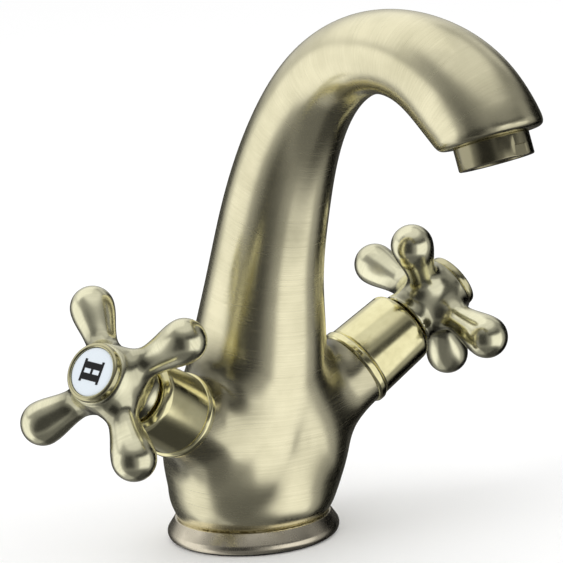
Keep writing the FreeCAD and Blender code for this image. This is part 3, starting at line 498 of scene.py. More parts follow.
def along_route(points):
    """Run along the middle line, offset across and deep, half width and half depth there, of each point."""
    plane = np.stack([-points[:, 1], points[:, 2]], -1)
    coarse = CURVE[::SKIP, :2]
    gaps = (plane ** 2).sum(1)[:, None] - 2 * plane @ coarse.T + (coarse ** 2).sum(1)
    place = gaps.argmin(1) * float(SKIP)
    step = RUN[1]
    for _ in range(REFINEMENTS):
        place = np.clip(place, 0, len(CURVE) - 1.001)
        low = place.astype(int)
        share = (place - low)[:, None]
        middle = CURVE[low] * (1 - share) + CURVE[low + 1] * share
        heading = TANGENT[low] * (1 - share) + TANGENT[low + 1] * share
        offset = plane - middle[:, :2]
        place = place + (offset * heading).sum(1) / step
    deep = offset[:, 0] * heading[:, 1] - offset[:, 1] * heading[:, 0]
    return (low + share[:, 0]) * step, points[:, 0], deep, middle[:, 3], middle[:, 2]


def neck_distance(points):
    """The body without its arms: an oval tube along the middle line."""
    across, deep, wide, depth = along_route(points)[1:]
    ratio = np.sqrt((across / wide) ** 2 + (deep / depth) ** 2)
    return (ratio - 1) * np.minimum(wide, depth)


def along_valve(points, side):
    """Distance of each point along the valve's axis, its offset from the origin, and the axis."""
    axis = np.array(valve_axis(side))
    offset = points - np.array(VALVE_ORIGIN)
    return offset @ axis, offset, axis


def arm_distance(points, side):
    """One flared arm of the body, with its ends cut square."""
    height, offset, axis = along_valve(points, side)
    radius = np.linalg.norm(offset - height[:, None] * axis, axis=1)
    drop = np.clip(ARM_END - height, -SPARE, 0.9 * ARM_FLARE)
    flare = ARM_END_RADIUS + ARM_FLARE - np.sqrt(ARM_FLARE ** 2 - drop ** 2)
    root = ARM_ROOT_RADIUS - ARM_ROOT_SLOPE * (ARM_ROOT - height)
    side_wall = (radius - smooth_union(flare, root, ARM_ROOT_BLEND)) * ARM_LEAN
    core, end = 2.0, 0.3
    return smooth_cut(smooth_cut(side_wall, ARM_CORE - height, core), height - ARM_END - SPARE, end)


def body_distance(points):
    """Cast body: neck and arms blended, then cut at the mouth."""
    blend, mouth = sizes().body_blend / MM, sizes().mouth_round / MM
    whole = neck_distance(points)
    for side in SIDES:
        whole = smooth_union(whole, arm_distance(points, side), blend)
    tilt = math.radians(MOUTH_TILT)
    out = np.array([0, -math.sin(tilt), -math.cos(tilt)])
    end = np.array([0, -ROUTE[-1][0], ROUTE[-1][1]])
    reach = 40.0
    near = np.linalg.norm(points - end, axis=1) < reach
    past_mouth = np.where(near, (points - end) @ out, -reach)
    return smooth_cut(whole, past_mouth, mouth)


# Rough solids of the body and of a handle, in mm: they only have to lie near the surface.
ARM_BLANK_ROOT = 19.0
HUB_BLANK, LOBE_BLANK, BALL_BLANK = (9.0, 9.5), (4.6, 6.4), 6.4
LOBE_BLANK_MIDDLE, LOBE_BLANK_LENGTH = 14.0, 26.0


def add_cone(work, segments, radii, depth, where):
    bmesh.ops.create_cone(
        work, cap_ends=True, segments=segments, radius1=radii[0], radius2=radii[1], depth=depth, matrix=where,
    )


def tube_blank():
    """Closed rough solids that the body's grid starts from: the neck and two arms."""
    work = bmesh.new()
    segments, every = 48, 5
    rings = []
    for (forward, height, deep, wide), (lean_z, lean_y) in zip(CURVE[::every], TANGENT[::every]):
        rings.append([
            work.verts.new((wide * x, -(forward + deep * w * lean_y), height - deep * w * lean_z))
            for x, w in around(segments)
        ])
    skin(work, rings, rings[1:])
    work.faces.new(rings[0])
    work.faces.new(rings[-1])
    for side in SIDES:
        place = valve_frame(side) @ Matrix.Translation((0, 0, (ARM_END + ARM_CORE) / 2))
        add_cone(work, 64, (ARM_BLANK_ROOT, ARM_END_RADIUS), ARM_END - ARM_CORE + 2 * SPARE, place)
    bmesh.ops.recalc_face_normals(work, faces=work.faces)
    return taken(work, "body_blank")


# How far off the surface a hollow is felt, in mm, how strongly it counts, and what is taken off for open places;
# the share darkens creases with patina and painted shade.
HOLLOW_REACH, HOLLOW_GAIN, HOLLOW_START = (2.0, 4.0, 8.0), 2.2, 0.15


def patina_and_shade_in_creases(field, points):
    """0 on open, round places and up to 1 in a crease, found by stepping off the surface; it is the share of
    patina and painted shade that a place gets.
    """
    slope = gradient(field, points)
    outward = slope / np.maximum(np.linalg.norm(slope, axis=1), 1e-6)[:, None]
    shares = [1 - field(points + outward * reach) / reach for reach in HOLLOW_REACH]
    return np.clip(np.mean(shares, axis=0) * HOLLOW_GAIN - HOLLOW_START, 0, 1)


def store(mesh, name, values):
    attribute = mesh.attributes.new(name, "FLOAT", "POINT")
    attribute.data.foreach_set("value", values.astype(np.float32))


# Where creases are filled, in mm: their reach and how it fades, and the same at an arm's end and at the sole.
CREASE_REACH, CREASE_FADE = 14.0, 7.0
CREASE_END_GAP, CREASE_END_FADE, CREASE_SOLE_GAP, CREASE_SOLE_FADE = 2.0, 6.0, 1.5, 5.0
CREASE_PASSES = 70


def body_creases(points):
    """1 where an arm meets the body, 0 well away from it and at the turned faces."""
    neck = neck_distance(points)
    share = np.zeros(len(points))
    for side in SIDES:
        off_end = ease((ARM_END - CREASE_END_GAP - along_valve(points, side)[0]) / CREASE_END_FADE)
        near = ease((CREASE_REACH - np.abs(neck - arm_distance(points, side))) / CREASE_FADE) * off_end
        share = np.maximum(share, near)
    return share * ease((points[:, 2] - SOLE - CREASE_SOLE_GAP) / CREASE_SOLE_FADE)


class TAP_OT_cast_body(Operator):
    """Cast body: swan-neck spout, belly and two flared arms in one smooth skin"""
    bl_idname = "tap.cast_body"
    bl_label = "Cast body"

    def execute(self, context):
        voxel = sizes().body_voxel / MM
        mesh = cast("body", tube_blank(), body_distance, voxel, body_creases, CREASE_PASSES)
        valves = [(VALVE_BORE, valve_frame(side)) for side in SIDES]
        mesh = subtract(mesh, valves + [(OUTLET_BORE, outlet_frame()), (SOLE_CUT, Matrix.Identity(4))])
        points = coordinates(mesh)
        store(mesh, "run", along_route(points)[0] * MM)
        # The hollow share darkens the body's creases: partly patina, partly painted shade.
        store(mesh, "hollow", patina_and_shade_in_creases(body_distance, points))
        shade(mesh, angle=62.0)
        piece = add_object("cast_body", mesh)
        dress(piece, "tap_body", "cast_bronze", brushed_brass("Brushed antique brass casting", "cast"), "body")
        foot = lathe("body_spigot", FOOT)
        bores = [(((radius, 0, FOOT_BORE_TOP),), Matrix.Translation((x, y, 0))) for x, y, radius in FOOT_BORES]
        foot.data.transform(Matrix.Scale(1 / MM, 4))
        bored = subtract(foot.data.copy(), bores)
        bpy.data.objects.remove(foot)
        spigot = add_object("body_spigot", shade(bored))
        dress(spigot, "tap_body", "cast_bronze", plain("Machined brass", "turned", linear("#b9a05c"), 0.3, 0.6))
        return {"FINISHED"}


# ---------- handles ----------

def hub_distance(points):
    """Hub turned about its axis: back skirt, waist and front rim."""
    radius = np.hypot(points[:, 0], points[:, 1])
    height = points[:, 2]
    wall = smooth_curve(*np.array(HUB_WALL).T, 0.0, HUB_WALL_END_SLOPE, np.clip(height, HUB_BACK, HUB_FRONT))
    edge = 1.0
    return smooth_cut(smooth_cut((radius - wall) * HUB_LEAN, HUB_BACK - height, edge), height - HUB_FRONT, edge)


def lobe_distance(points, turn):
    """One arm of the cross, turned about the hub: a waist that swells into a ball end."""
    angle = math.radians(turn)
    along = points[:, 0] * math.cos(angle) + points[:, 1] * math.sin(angle)
    aside = -points[:, 0] * math.sin(angle) + points[:, 1] * math.cos(angle)
    radius = np.hypot(aside, points[:, 2] - CROSS_AT)
    wall = smooth_curve(*np.array(ARM_WALL).T, 0.0, 0.0, np.clip(along, 0, BALL_AT))
    stem = np.where(along < BALL_AT, radius - wall, np.hypot(radius, along - BALL_AT) - BALL)
    return np.where(along < 0, np.hypot(radius, along) - ARM_WALL[0][1], stem)


def handle_distance(points):
    """The four arms of the cross blended with the hub."""
    blend = sizes().handle_blend / MM
    arms = lobe_distance(points, 0)
    for quarter in range(1, 4):
        arms = smooth_union(arms, lobe_distance(points, 90 * quarter), LOBE_BLEND)
    return smooth_union(hub_distance(points), arms, blend)


def handle_blank():
    """Closed rough solids that a handle's grid starts from: the hub, four arms and their balls."""
    work = bmesh.new()
    middle = Matrix.Translation((0, 0, (HUB_BACK + HUB_FRONT) / 2))
    add_cone(work, 48, HUB_BLANK, HUB_FRONT - HUB_BACK, middle)
    for quarter in range(4):
        turned = Matrix.Rotation(math.radians(90 * quarter), 4, "Z")
        lobe = turned @ Matrix.Translation((LOBE_BLANK_MIDDLE, 0, CROSS_AT))
        add_cone(work, 32, LOBE_BLANK, LOBE_BLANK_LENGTH, lobe @ Matrix.Rotation(math.radians(90), 4, "Y"))
        end = lobe @ Matrix.Translation((BALL_AT - LOBE_BLANK_MIDDLE, 0, 0))
        bmesh.ops.create_uvsphere(work, u_segments=24, v_segments=16, radius=BALL_BLANK, matrix=end)
    bmesh.ops.recalc_face_normals(work, faces=work.faces)
    return taken(work, "handle_blank")


class TAP_OT_cross_handles(Operator):
    """Hot and cold cross handles: hub and four ball-ended arms in one smooth casting"""
    bl_idname = "tap.cross_handles"
    bl_label = "Cross handles"

    def execute(self, context):
        whole = cast("handle", handle_blank(), handle_distance, sizes().handle_voxel / MM)
        whole = subtract(whole, [(bore, Matrix.Identity(4)) for bore in (SPINDLE_BORE, SCREW_BORE)])
        points = coordinates(whole)
        store(whole, "run", np.hypot(points[:, 0], points[:, 1]) * MM)
        # The hollow share darkens the handle's creases: partly patina, partly painted shade.
        store(whole, "hollow", patina_and_shade_in_creases(handle_distance, points))
        shade(whole, angle=40.0)
        look = brushed_brass("Antique brass handle casting", "handle")
        for side in SIDES:
            piece = add_object(f"{side}_cross_handle", whole.copy(), valve_frame(side, HANDLE_TURN[side]))
            dress(piece, f"{side}_turner", "handle_bronze", look, f"{side}_handle")
        bpy.data.meshes.remove(whole)
        return {"FINISHED"}


class TAP_OT_valve_trims(Operator):
    """Collar and shroud of each valve"""
    bl_idname = "tap.valve_trims"
    bl_label = "Collars and shrouds"

    def execute(self, context):
        look = brushed_brass("Semi-polished antique brass trim", "polished")
        for side in SIDES:
            for kind, corners in (("collar", COLLAR), ("shroud", SHROUD)):
                piece = lathe(f"{side}_{kind}_trim", corners, valve_frame(side), steps=7)
                dress(piece, "tap_body", "polished_bronze", look, f"{side}_{kind}")
        return {"FINISHED"}


def letter_outline(side):
    """Corners of the mark, in millimetres: a slab-serif H, or a C with the same weight."""
    tall = sizes().mark_height / MM / 2
    wide, stem, thin, serif = 3.4, 2.0, 0.85, 0.7
    if side == "hot":
        inner, outer = wide - serif - stem, wide - serif
        quarter = [
            (inner, thin / 2), (inner, tall - thin), (inner - serif, tall - thin), (inner - serif, tall),
            (wide, tall), (wide, tall - thin), (outer, tall - thin),
        ]
        right = quarter + [(x, -y) for x, y in reversed(quarter)]
        return right + [(-x, -y) for x, y in right]
    outside, inside = [], []
    mouth, steps, heavier = 42, 24, 0.35
    for step in range(steps + 1):
        turn = math.radians(mouth + step * (360 - 2 * mouth) / steps)
        outside.append((wide * math.cos(turn), tall * math.sin(turn)))
        inside.append(((wide - stem) * math.cos(turn) + heavier, (tall - thin) * math.sin(turn)))
    return outside + inside[::-1]


class TAP_OT_index_caps(Operator):
    """Index caps: turned bezel, domed white badge and its letter"""
    bl_idname = "tap.index_caps"
    bl_label = "Index caps"

    def execute(self, context):
        trim = brushed_brass("Semi-polished antique brass bezel", "bezel")
        white = plain("White vitreous enamel", "glazed", finish().enamel, 0.12, 3)
        black = plain("Black enamel letter", "glazed", finish().ink, 0.3, 3)
        for side in SIDES:
            where = valve_frame(side)
            turner = f"{side}_turner"
            cap = lathe(f"{side}_cap_bezel", BEZEL, where, segments=96)
            dress(cap, turner, "cap_bronze", trim, f"{side}_index_cap")
            disc = lathe(f"{side}_badge_disc", BADGE, where, segments=96)
            dress(disc, turner, "enamel", white, f"{side}_badge")
            upright = valve_frame(side, MARK_TURN[side])
            letter = prism(f"{side}_letter", letter_outline(side), MARK_LOW, MARK_HIGH, upright, MARK_EDGE)
            dress(letter, turner, "black_paint", black, f"{side}_mark")
        return {"FINISHED"}


class TAP_OT_base_ring(Operator):
    """Base ring under the cast body"""
    bl_idname = "tap.base_ring"
    bl_label = "Base ring"

    def execute(self, context):
        ring = lathe("base_ring_trim", BASE_RING, segments=160, steps=7)
        dress(ring, "tap_body", "base_bronze", brushed_brass("Dark antique brass base", "base"), "base_ring")
        return {"FINISHED"}


# ---------- outlet ----------

def screen_tree(look, values):
    """Woven screen: two layers of straight wires cut to a round outline, its radius, pitch and wire in mm."""
    tree = bpy.data.node_groups.new("Aerator screen", "GeometryNodeTree")
    add = partial(add_node, tree)
    face = tree.interface
    for name, value in values.items():
        face.new_socket(name=name, in_out="INPUT", socket_type="NodeSocketFloat").default_value = value
    face.new_socket(name="Mesh", in_out="OUTPUT", socket_type="NodeSocketGeometry")
    given = add("NodeGroupInput")
    part = {name: given.outputs[name] for name in values}
    place = add("GeometryNodeInputPosition")
    part["x"] = add("ShaderNodeSeparateXYZ", {0: place}).outputs[0]
    # how many wires go side by side, where the first one lies, and half the length of each
    for result, operation, one, other in (
        ("width", "MULTIPLY", "Radius", 2.0), ("gaps", "DIVIDE", "width", "Pitch"),
        ("count", "FLOOR", "gaps", 0.0), ("less one", "SUBTRACT", "count", 1.0),
        ("half pitch", "MULTIPLY", "Pitch", -0.5), ("start", "MULTIPLY", "less one", "half pitch"),
        ("below", "MULTIPLY", "Wire", -0.9), ("above", "MULTIPLY", "Wire", 0.9),
        ("radius squared", "MULTIPLY", "Radius", "Radius"), ("x squared", "MULTIPLY", "x", "x"),
        ("left", "SUBTRACT", "radius squared", "x squared"), ("some left", "MAXIMUM", "left", 0.01),
        ("half", "SQRT", "some left", 0.0),
    ):
        part[result] = add("ShaderNodeMath", {0: part[one], 1: part.get(other, other)}, operation=operation)
    step = add("ShaderNodeCombineXYZ", {0: part["Pitch"]})
    rod = add("GeometryNodeMeshCylinder", {"Vertices": 8, "Radius": part["Wire"], "Depth": 2.0})
    stretch = add("ShaderNodeCombineXYZ", {0: 1.0, 1: 1.0, 2: part["half"]})
    layers = add("GeometryNodeJoinGeometry")
    for layer, quarter in (("below", 0.0), ("above", math.pi / 2)):
        first = add("ShaderNodeCombineXYZ", {0: part["start"], 2: part[layer]})
        line = add(
            "GeometryNodeMeshLine", {"Count": part["count"], "Start Location": first, "Offset": step},
            mode="OFFSET",
        )
        strung = add(
            "GeometryNodeInstanceOnPoints",
            {"Points": line, "Instance": rod, "Scale": stretch, "Rotation": (math.pi / 2, 0, 0)},
        )
        turned = add("GeometryNodeTransform", {"Geometry": strung, "Rotation": (0, 0, quarter)})
        tree.links.new(turned.outputs[0], layers.inputs[0])
    real = add("GeometryNodeRealizeInstances", {0: layers})
    coat = add("GeometryNodeSetMaterial", {"Geometry": real, "Material": look})
    add("NodeGroupOutput", {0: coat})
    return tree


def grown(name, tree, values):
    """The mesh that a geometry node tree makes with these inputs."""
    carrier = placed(name, bpy.data.meshes.new(name))
    modifier = carrier.modifiers.new(name, "NODES")
    modifier.node_group = tree
    for item in tree.interface.items_tree:
        if item.in_out == "INPUT":
            modifier[item.identifier] = values[item.name]
    return baked(carrier)


class TAP_OT_aerator(Operator):
    """Outlet: aerator ring with spanner flats, plastic cartridge and wire screen"""
    bl_idname = "tap.aerator"
    bl_label = "Aerator"

    def execute(self, context):
        where = outlet_frame()

        def spanner(co):
            if co.z > FLAT_START + FLAT_STEP / 2:
                co.y = max(-FLAT, min(FLAT, co.y))
            return co

        ring = lathe("aerator_housing", OUTLET_RING, where, segments=144, shape=spanner)
        look = brushed_brass("Antique brass outlet ring", "outlet")
        dress(ring, "tap_body", "outlet_bronze", look, "aerator_ring")
        steel = plain("Stainless steel wire", "turned", linear("#b8bcbf"), 0.25, 0.6)
        values = {"Radius": SCREEN_RADIUS, "Pitch": sizes().mesh_pitch / MM, "Wire": sizes().mesh_wire / MM}
        mesh = shade(grown("aerator_wires", screen_tree(steel, values), values))
        wires = add_object("aerator_wires", mesh, where @ Matrix.Translation((0, 0, SCREEN_AT)))
        dress(wires, "tap_body", "steel", steel, "aerator_screen")
        return {"FINISHED"}


# ---------- materials ----------

def add_node(tree, kind, inputs=None, **settings):
    """Adds a node with its settings; each input gets a value or a link to a socket or a node's first output."""
    made = tree.nodes.new(kind)
    for name, value in settings.items():
        setattr(made, name, value)
    for name, value in (inputs or {}).items():
        if isinstance(value, Node):
            value = value.outputs[0]
        if isinstance(value, NodeSocket):
            tree.links.new(value, made.inputs[name])
        else:
            made.inputs[name].default_value = value
    return made


def new_material(name):
    """An empty material, and add_node bound to its tree."""
    look = bpy.data.materials.new(name)
    look.use_nodes = True
    look.node_tree.nodes.clear()
    return look, partial(add_node, look.node_tree)


# Per finish: light and dark colour, roughness, depth of the brush lines in mm, patina and painted shade in the
# hollows.
BRASS = {
    "cast": ("brass_light", "brass_dark", 0.23, 0.0025, 0.95),
    "handle": ("handle_light", "handle_dark", 0.2, 0.001, 1.0),
    "polished": ("polished_light", "polished_dark", 0.14, 0.001, 0.0),
    "bezel": ("bezel_light", "brass_dark", 0.16, 0.001, 0.0),
    "base": ("base_light", "base_dark", 0.24, 0.003, 0.0),
    "outlet": ("outlet_light", "brass_dark", 0.2, 0.002, 0.0),
}


def brushed_brass(name, kind):
    """Cast brass, browned by a chemical patina and brushed by hand across its length, then lacquered.

    The patina dulls the yellow to khaki, and the hollows are painted darker, partly as patina and partly as
    painted shade; the brush leaves fine lines that run round the piece. They are about 0.25 mm apart, and drawn
    0.4 mm apart so that they show.
    """
    light, dark, roughness, depth, hollow = BRASS[kind]
    look, add = new_material(name)
    place = add("ShaderNodeTexCoord").outputs["Object"]
    if kind in ("cast", "handle"):
        line_gap, line_length = 0.4 * MM, 12 * MM
        run = add("ShaderNodeAttribute", attribute_name="run").outputs["Fac"]
        across = add("ShaderNodeMath", {0: run, 1: 1 / line_gap}, operation="MULTIPLY")
        stretched = add("ShaderNodeVectorMath", {0: place, "Scale": 1 / line_length}, operation="SCALE")
        shift = add("ShaderNodeCombineXYZ", {0: across})
        grain_at = add("ShaderNodeVectorMath", {0: stretched, 1: shift}, operation="ADD")
    else:
        grain_size = 2 * MM
        grain_at = add("ShaderNodeVectorMath", {0: place, "Scale": 1 / grain_size}, operation="SCALE")
    grain = add("ShaderNodeTexNoise", {"Vector": grain_at, "Scale": 1.0, "Detail": 3.0, "Roughness": 0.6})
    blotch_size = 16 * MM
    blotch = add(
        "ShaderNodeTexNoise", {"Vector": place, "Scale": 1 / blotch_size, "Detail": 3.0, "Roughness": 0.55}
    )
    # how far the blotches, the brush lines and the roughness swing: input range, then output range
    swings = ((blotch, 0.35, 0.7, 0.0, 0.3), (grain, 0.3, 0.7, -0.045, 0.045),
              (grain, 0.25, 0.75, roughness - 0.05, roughness + 0.06))
    tone, lined, rough = (
        add(
            "ShaderNodeMapRange",
            {"Value": noise.outputs["Fac"], "From Min": start, "From Max": end, "To Min": low, "To Max": high},
        )
        for noise, start, end, low, high in swings
    )
    worn = add("ShaderNodeMath", {0: tone, 1: lined}, operation="ADD")
    tints = {6: tuple(getattr(finish(), light)), 7: tuple(getattr(finish(), dark))}
    base = add("ShaderNodeMix", {"Factor": worn, **tints}, data_type="RGBA").outputs[2]
    # Creases are mixed towards the crevice colour: partly patina, partly painted shade.
    if hollow:
        patina_and_shade_share = add("ShaderNodeAttribute", attribute_name="hollow").outputs["Fac"]
        deep = add("ShaderNodeMath", {0: patina_and_shade_share, 1: hollow}, operation="MULTIPLY", use_clamp=True)
        tints = {6: base, 7: tuple(finish().crevice_patina_and_shade)}
        base = add("ShaderNodeMix", {"Factor": deep, **tints}, data_type="RGBA").outputs[2]
    relief = add(
        "ShaderNodeBump", {"Strength": 0.5, "Distance": depth * MM, "Height": grain.outputs["Fac"]}
    )
    shader = add(
        "ShaderNodeBsdfPrincipled",
        {"Base Color": base, "Metallic": 1.0, "Roughness": rough, "Normal": relief},
    )
    add("ShaderNodeOutputMaterial", {"Surface": shader})
    return look


# Per surface: detail of its noise, share of the colour that its dark places keep, swing of the roughness,
# strength of the relief and its depth in mm, and metallic.
SURFACES = {
    "turned": (2.0, 0.75, 0.06, 0.0, 0.0, 1.0),
    "glazed": (2.0, 0.93, 0.0, 0.2, 0.01, 0.0),
    "matt": (3.0, 0.8, 0.0, 0.3, 0.03, 0.0),
}


def plain(name, surface, tint, roughness, grain_mm):
    """A material without brushing.

    Turned metal shows faint tool marks, a glazed or poured coat a faint waviness in its gloss, and matt rubber,
    fibre, plastic or unglazed ceramic a fine speckle. Tool marks and specks are drawn coarser than they are.
    """
    detail, dark, swing, strength, depth, metallic = SURFACES[surface]
    look, add = new_material(name)
    place = add("ShaderNodeTexCoord").outputs["Object"]
    grain = add("ShaderNodeTexNoise", {"Vector": place, "Scale": 1 / (grain_mm * MM), "Detail": detail})
    grain = grain.outputs["Fac"]
    tints = {6: tuple(tint), 7: tuple(dark * part for part in tuple(tint)[:3]) + (1.0,)}
    base = add("ShaderNodeMix", {"Factor": grain, **tints}, data_type="RGBA").outputs[2]
    inputs = {"Base Color": base, "Metallic": metallic, "Roughness": roughness}
    if swing:
        ends = {"To Min": roughness - swing, "To Max": roughness + swing}
        inputs["Roughness"] = add("ShaderNodeMapRange", {"Value": grain, **ends})
    if depth:
        bumps = {"Strength": strength, "Distance": depth * MM, "Height": grain}
        inputs["Normal"] = add("ShaderNodeBump", bumps)
    shader = add("ShaderNodeBsdfPrincipled", inputs)
    add("ShaderNodeOutputMaterial", {"Surface": shader})
    return look


def dress(piece, body, slot, look, *nodes):
    """Gives a piece its material, hangs it on the body that it rides on, and hides the CAD parts that it takes
    the place of.
    """
    piece.data.materials.clear()
    piece.data.materials.append(look)
    if nodes:
        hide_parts(*nodes)
    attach(piece, body)


class TAP_OT_inner_works(Operator):
    """Materials for the pieces inside: headworks, discs, seals, spindles, screws and gasket"""
    bl_idname = "tap.inner_works"
    bl_label = "Inner works"

    def execute(self, context):
        # material slot, name, surface, colour, roughness and grain in mm
        inner = (
            ("brass", "Turned brass", "turned", "#c9a955", 0.3, 0.6),
            ("steel", "Plain stainless steel", "turned", "#b4b6b8", 0.32, 0.6),
            ("rubber", "Black nitrile rubber", "matt", "#17181a", 0.75, 0.4),
            ("fibre", "Red vulcanised fibre", "matt", "#8a4632", 0.8, 0.3),
            ("ceramic", "Lapped alumina ceramic", "matt", "#e8e4d8", 0.25, 0.2),
            ("white_plastic", "White acetal plastic", "matt", "#dfe2e4", 0.4, 0.5),
        )
        looks = {
            slot: plain(name, surface, linear(text), roughness, grain)
            for slot, name, surface, text, roughness, grain in inner
        }
        for entry in frame["record"]["subparts"]:
            look = looks.get(entry["material_slot"])
            if look is None:
                continue
            mesh = frame["nodes"][entry["node"]].data
            mesh.materials.clear()
            mesh.materials.append(look)
        return {"FINISHED"}


# ---------- studio ----------

# The photograph's view: degrees round, up and of roll, and millimetres of distance, across and high.
VIEW_ROUND, VIEW_UP, VIEW_ROLL, VIEW_DISTANCE = -41.79, 12.06, -3.18, 1000.0
VIEW_TARGET_ACROSS, VIEW_TARGET_HEIGHT = 12.77, 78.56
FOCAL_PIXELS, FRAME_PIXELS, SENSOR_MM = 3295.5, 563.0, 36.0


def place_camera():
    """The camera that the photograph's outline fits."""
    turn, lift, roll = (math.radians(angle) for angle in (VIEW_ROUND, VIEW_UP, VIEW_ROLL))
    back = Vector((math.sin(turn) * math.cos(lift), -math.cos(turn) * math.cos(lift), math.sin(lift)))
    level = Vector((math.cos(turn), math.sin(turn), 0))
    upright = back.cross(level)
    right = level * math.cos(roll) + upright * math.sin(roll)
    up = upright * math.cos(roll) - level * math.sin(roll)
    target = Vector((0, 0, VIEW_TARGET_HEIGHT)) + level * VIEW_TARGET_ACROSS
    data = bpy.data.cameras.new("Photo view")
    data.sensor_width = SENSOR_MM
    data.lens = FOCAL_PIXELS / FRAME_PIXELS * SENSOR_MM
    data.clip_start = 0.01
    camera = placed("Photo view", data)
    matrix = Matrix((right, up, back)).transposed().to_4x4()
    matrix.translation = (target + back * VIEW_DISTANCE) * MM
    camera.matrix_world = matrix
    bpy.context.scene.camera = camera


def add_lamp(name, power, wide, tall, place, aim=(0, -0.03, 0.08)):
    """A softbox of power in watts; its size, place and aim are in metres. Reflections don't see it."""
    data = bpy.data.lights.new(name, "AREA")
    data.shape = "RECTANGLE"
    data.size, data.size_y = wide, tall
    data.energy = power
    lamp = placed(name, data)
    heading = Vector(place) - Vector(aim)
    lamp.matrix_world = Matrix.Translation(place) @ heading.to_track_quat("Z", "Y").to_matrix().to_4x4()
    lamp.visible_glossy = False


# What the metal sees around it, in degrees: middle round from the spout's direction, middle up, half width,
# half height and softness of the edge, and then how much of the white studio shows there.
SURROUNDINGS = (
    ("side light", 150, 20, 70, 24, 16, 0.6),
    ("upper band", -10, 34, 100, 14, 14, 0.26),
    ("top panel", 0, 90, 180, 36, 18, 0.74),
    ("back panel, high", 180, 58, 50, 32, 18, 0.97),
    ("table", 0, -84, 180, 40, 20, 0.14),
    ("table at the right", 75, -80, 65, 32, 24, 0.05),
    ("table at the left", -145, -66, 42, 16, 14, 0.42),
    ("flag behind the camera", -65, -3, 27, 34, 28, 0.05),
    ("flag at the right", 93, -14, 24, 40, 18, 0.0),
    ("flag behind the object", 144, -16, 40, 22, 10, 0.05),
    ("softbox at the left", -136, -18, 26, 38, 12, 1.0),
    ("softbox at the right", 15, -11, 32, 27, 10, 1.0),
    ("gap over the right softbox", 5, 25, 40, 9, 10, 0.07),
)
BACKDROP_LEVEL = 0.33
# The shell's radius and centre and half the floor's side, in metres; the floor's place under the object, in mm.
DOME_RADIUS, DOME_CENTRE, FLOOR_HALF, FLOOR_GAP = 2.0, (0, -0.03, 0.09), 6.0, 0.05
# Strength of the white world for camera, mirror and refracted rays, and for the light that falls on the object.
WORLD_SEEN, WORLD_LIGHT = 1.0, 0.96


def ease(value):
    value = np.clip(value, 0, 1)
    return value * value * (3 - 2 * value)


def surroundings_level(round_deg, up_deg):
    level = np.full(round_deg.shape, BACKDROP_LEVEL)
    for _, middle, height, wide, tall, soft, bright in SURROUNDINGS:
        aside = np.abs((round_deg - middle + 180) % 360 - 180)
        across = ease((wide - aside) / soft + 0.5)
        upward = ease((tall - np.abs(up_deg - height)) / soft + 0.5)
        share = (across if wide < 180 else 1.0) * upward
        level = level * (1 - share) + bright * share
    return level


def build_surroundings():
    """A shell round the object that only reflections see: clear where the studio is white, dark at the flags.

    It is part of the stage, and was set by comparing the metal's reflections with the photograph.
    """
    turns, lifts = 180, 90
    round_deg, up_deg = np.meshgrid(np.arange(turns) * 360 / turns, np.linspace(-89.9, 89.9, lifts))
    level = surroundings_level(round_deg, up_deg)
    turn, lift = np.radians(round_deg), np.radians(up_deg)
    heading = np.stack([np.sin(turn) * np.cos(lift), -np.cos(turn) * np.cos(lift), np.sin(lift)], -1)
    points = np.array(DOME_CENTRE) + heading * DOME_RADIUS
    faces = []
    for low in range(lifts - 1):
        for step in range(turns):
            nearby = (step + 1) % turns
            here, above = low * turns, (low + 1) * turns
            faces.append((here + step, here + nearby, above + nearby, above + step))
    mesh = bpy.data.meshes.new("surroundings")
    mesh.from_pydata(points.reshape(-1, 3).tolist(), [], faces)
    store(mesh, "level", level.ravel())
    look, add = new_material("Flags and panels")
    bright = add("ShaderNodeAttribute", attribute_name="level").outputs["Fac"]
    clear = add("ShaderNodeBsdfTransparent")
    dark = add("ShaderNodeEmission", {"Color": (0, 0, 0, 1), "Strength": 0.0})
    both = add("ShaderNodeMixShader", {0: bright, 1: dark, 2: clear})
    add("ShaderNodeOutputMaterial", {"Surface": both})
    mesh.materials.append(look)
    shell = placed("surroundings", mesh)
    for kind in ("camera", "diffuse", "shadow", "transmission"):
        setattr(shell, "visible_" + kind, False)


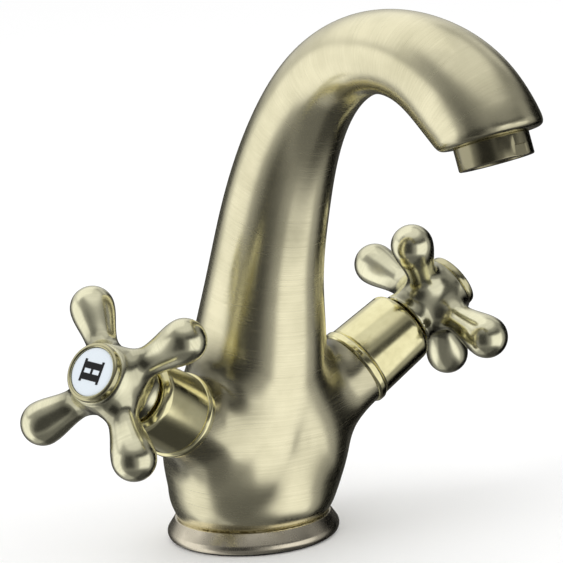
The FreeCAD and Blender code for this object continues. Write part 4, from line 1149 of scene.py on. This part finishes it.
class TAP_OT_studio(Operator):
    """Pale floor, soft studio light, the flags that the metal reflects, and the camera"""
    bl_idname = "tap.studio"
    bl_label = "Studio"

    def execute(self, context):
        scene = context.scene
        scene.view_settings.view_transform = "Standard"
        place_camera()
        work = bmesh.new()
        bmesh.ops.create_grid(work, x_segments=1, y_segments=1, size=FLOOR_HALF)
        floor = placed("floor", taken(work, "floor"))
        look, add = new_material("Pale floor")
        shader = add(
            "ShaderNodeBsdfPrincipled",
            {"Base Color": linear("#fdfdfd"), "Roughness": 1.0, "Specular IOR Level": 0.0},
        )
        add("ShaderNodeOutputMaterial", {"Surface": shader})
        floor.data.materials.append(look)
        floor.location.z = -FLOOR_GAP * MM
        floor.visible_glossy = False
        build_surroundings()

        world = bpy.data.worlds.new("Studio")
        scene.world = world
        world.use_nodes = True
        world.node_tree.nodes.clear()
        add = partial(add_node, world.node_tree)
        path = add("ShaderNodeLightPath")
        seen = path.outputs["Is Camera Ray"]
        for kind in ("Is Transmission Ray", "Is Glossy Ray"):
            seen = add("ShaderNodeMath", {0: seen, 1: path.outputs[kind]}, operation="MAXIMUM")
        strength = add(
            "ShaderNodeMapRange", {"Value": seen, "To Min": WORLD_LIGHT, "To Max": WORLD_SEEN}
        )
        back = add("ShaderNodeBackground", {"Color": (1, 1, 1, 1), "Strength": strength})
        add("ShaderNodeOutputWorld", {"Surface": back})

        add_lamp("Left softbox", 4.5, 0.8, 0.9, (-1.2, 0.3, 1.2))
        add_lamp("Right softbox", 3.5, 0.8, 0.9, (0.6, -1.2, 1.1))
        return {"FINISHED"}


# ---------- panel, registration and build ----------

OPERATORS = (
    TAP_OT_cast_body, TAP_OT_cross_handles, TAP_OT_valve_trims, TAP_OT_index_caps, TAP_OT_base_ring,
    TAP_OT_aerator, TAP_OT_inner_works, TAP_OT_studio,
)


class TAP_PT_sidebar(Panel):
    """Sizes, finishes and pieces of the tap"""
    bl_idname = "TAP_PT_sidebar"
    bl_label = "Cross handle tap"
    bl_space_type = "VIEW_3D"
    bl_region_type = "UI"
    bl_category = "Tap"

    def draw(self, context):
        for group in (context.scene.tap_sizes, context.scene.tap_finish):
            box = self.layout.box()
            for name in group.__annotations__:
                box.prop(group, name)
        for operator in OPERATORS:
            self.layout.operator(operator.bl_idname)


CLASSES = (TapSizes, TapFinish) + OPERATORS + (TAP_PT_sidebar,)


def register():
    for item in CLASSES:
        bpy.utils.register_class(item)
    bpy.types.Scene.tap_sizes = PointerProperty(type=TapSizes)
    bpy.types.Scene.tap_finish = PointerProperty(type=TapFinish)


def unregister():
    del bpy.types.Scene.tap_finish
    del bpy.types.Scene.tap_sizes
    for item in reversed(CLASSES):
        bpy.utils.unregister_class(item)


def main():
    register()
    for operator in OPERATORS:
        group, name = operator.bl_idname.split(".")
        getattr(getattr(bpy.ops, group), name)()


if __name__ == "__main__":
    main()
